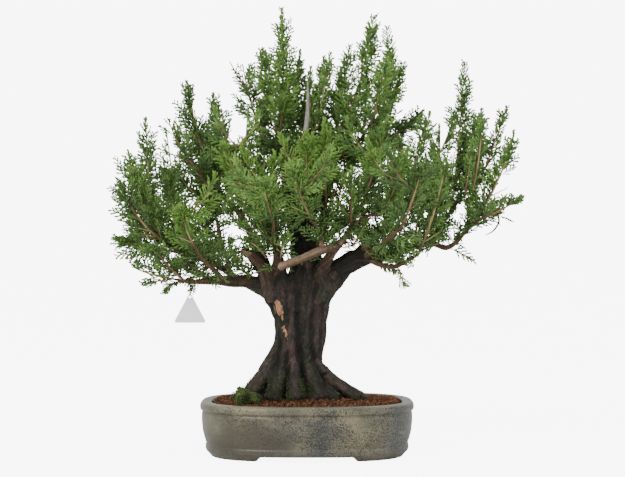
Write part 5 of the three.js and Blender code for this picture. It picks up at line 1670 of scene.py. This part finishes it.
def make_plain_material(name, roughness, scale, detail, low, high, strength):
    """Dull material between two colours, with a fine grain."""
    n = Nodes(name, {"Roughness": roughness})
    marks = n.noise(n.place(), scale, detail)
    n.bump(marks, 0.0004, strength)
    return n.finish(n.ramp(marks, [(0.3, low), (0.7, high)]))


# Camera, light and floor


def make_camera():
    camera = bpy.data.cameras.new("view")
    camera.sensor_width = SENSOR_WIDTH
    camera.lens = FOCAL_PIXELS / PHOTO_WIDTH * SENSOR_WIDTH
    camera.clip_end = 20
    made = bpy.data.objects.new("view", camera)
    made.location = np.array(CAMERA_PLACE) * MM + MIDDLE
    made.rotation_euler = (math.radians(90), 0, 0)
    bpy.context.scene.collection.objects.link(made)
    bpy.context.scene.camera = made


def make_light(name, place, size, watts):
    """Round soft light that faces the tree."""
    light = bpy.data.lights.new(name, "AREA")
    light.shape = "DISK"
    light.size = size
    light.energy = watts
    made = bpy.data.objects.new(name, light)
    made.location = place
    made.rotation_euler = (Vector(LIT_PLACE) - Vector(place)).to_track_quat("-Z", "Y").to_euler()
    bpy.context.scene.collection.objects.link(made)


def glow(tree, socket, unseen, seen):
    """Sets a strength of light that is brighter for what the camera sees of it directly."""
    ray = tree.nodes.new("ShaderNodeLightPath").outputs["Is Camera Ray"]
    strength = tree.nodes.new("ShaderNodeMapRange")
    strength.inputs["To Min"].default_value = unseen
    strength.inputs["To Max"].default_value = seen
    tree.links.new(ray, strength.inputs["Value"])
    tree.links.new(strength.outputs[0], socket)


def make_stage():
    world = bpy.data.worlds.new("studio")
    bpy.context.scene.world = world
    world.use_nodes = True
    sky = world.node_tree.nodes["Background"]
    sky.inputs["Color"].default_value = (1, 1, 1, 1)
    glow(world.node_tree, sky.inputs["Strength"], WORLD_LIGHT, BACKDROP_LIGHT)
    bpy.ops.mesh.primitive_plane_add(size=FLOOR_SIZE, location=(0, 0, 0))
    floor = bpy.context.object
    floor.name = "floor"
    n = Nodes("pale_floor", {"Roughness": 0.9, "Emission Color": (1, 1, 1, 1)})
    glow(n.tree, n.shader.inputs["Emission Strength"], 0.0, FLOOR_GLOW)
    color = n.ramp(n.noise(n.place(), 40.0), [(0.3, (240, 240, 240)), (0.7, (244, 244, 244))])
    floor.data.materials.append(n.finish(color))
    for name, row in LIGHTS.items():
        make_light(name, *row)


make_camera()
make_stage()

SPRAY_SHAPES = make_shapes(add_flat_spray, SPRAY_LENGTHS, SPRAY_SEED)
TWIG_SHAPES = make_shapes(add_leafy_twig, TWIG_LENGTHS, TWIG_SEED)
foliage_material = make_foliage_material()
bark_material = make_bark_material()
glaze_material = make_glaze_material()
soil_material = make_soil_material()
moss_material = make_moss_material()
tag_material = make_tag_material()
tie_material = make_plain_material("waxed_cord", 0.6, 1400.0, 2.0, (52, 54, 56), (92, 94, 96), 0.6)
screen_material = make_plain_material("screen_mesh", 0.55, 300.0, 3.0, (26, 27, 28), (44, 44, 44), 0.5)

make_pot()
make_soil()
wood, limb_centres = make_wood()
make_moss(wood)
make_inner_sprays(limb_centres)
make_extra_shoots()
make_tag()
make_tie()
for side in ("left", "right"):
    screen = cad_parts["drain_screen_" + side]
    screen.data.materials.clear()
    screen.data.materials.append(screen_material)
shoot_nodes = sorted(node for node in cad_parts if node.startswith("shoot_"))
for number, node in enumerate(shoot_nodes):
    make_shoot(number, SHOOTS[number], node)
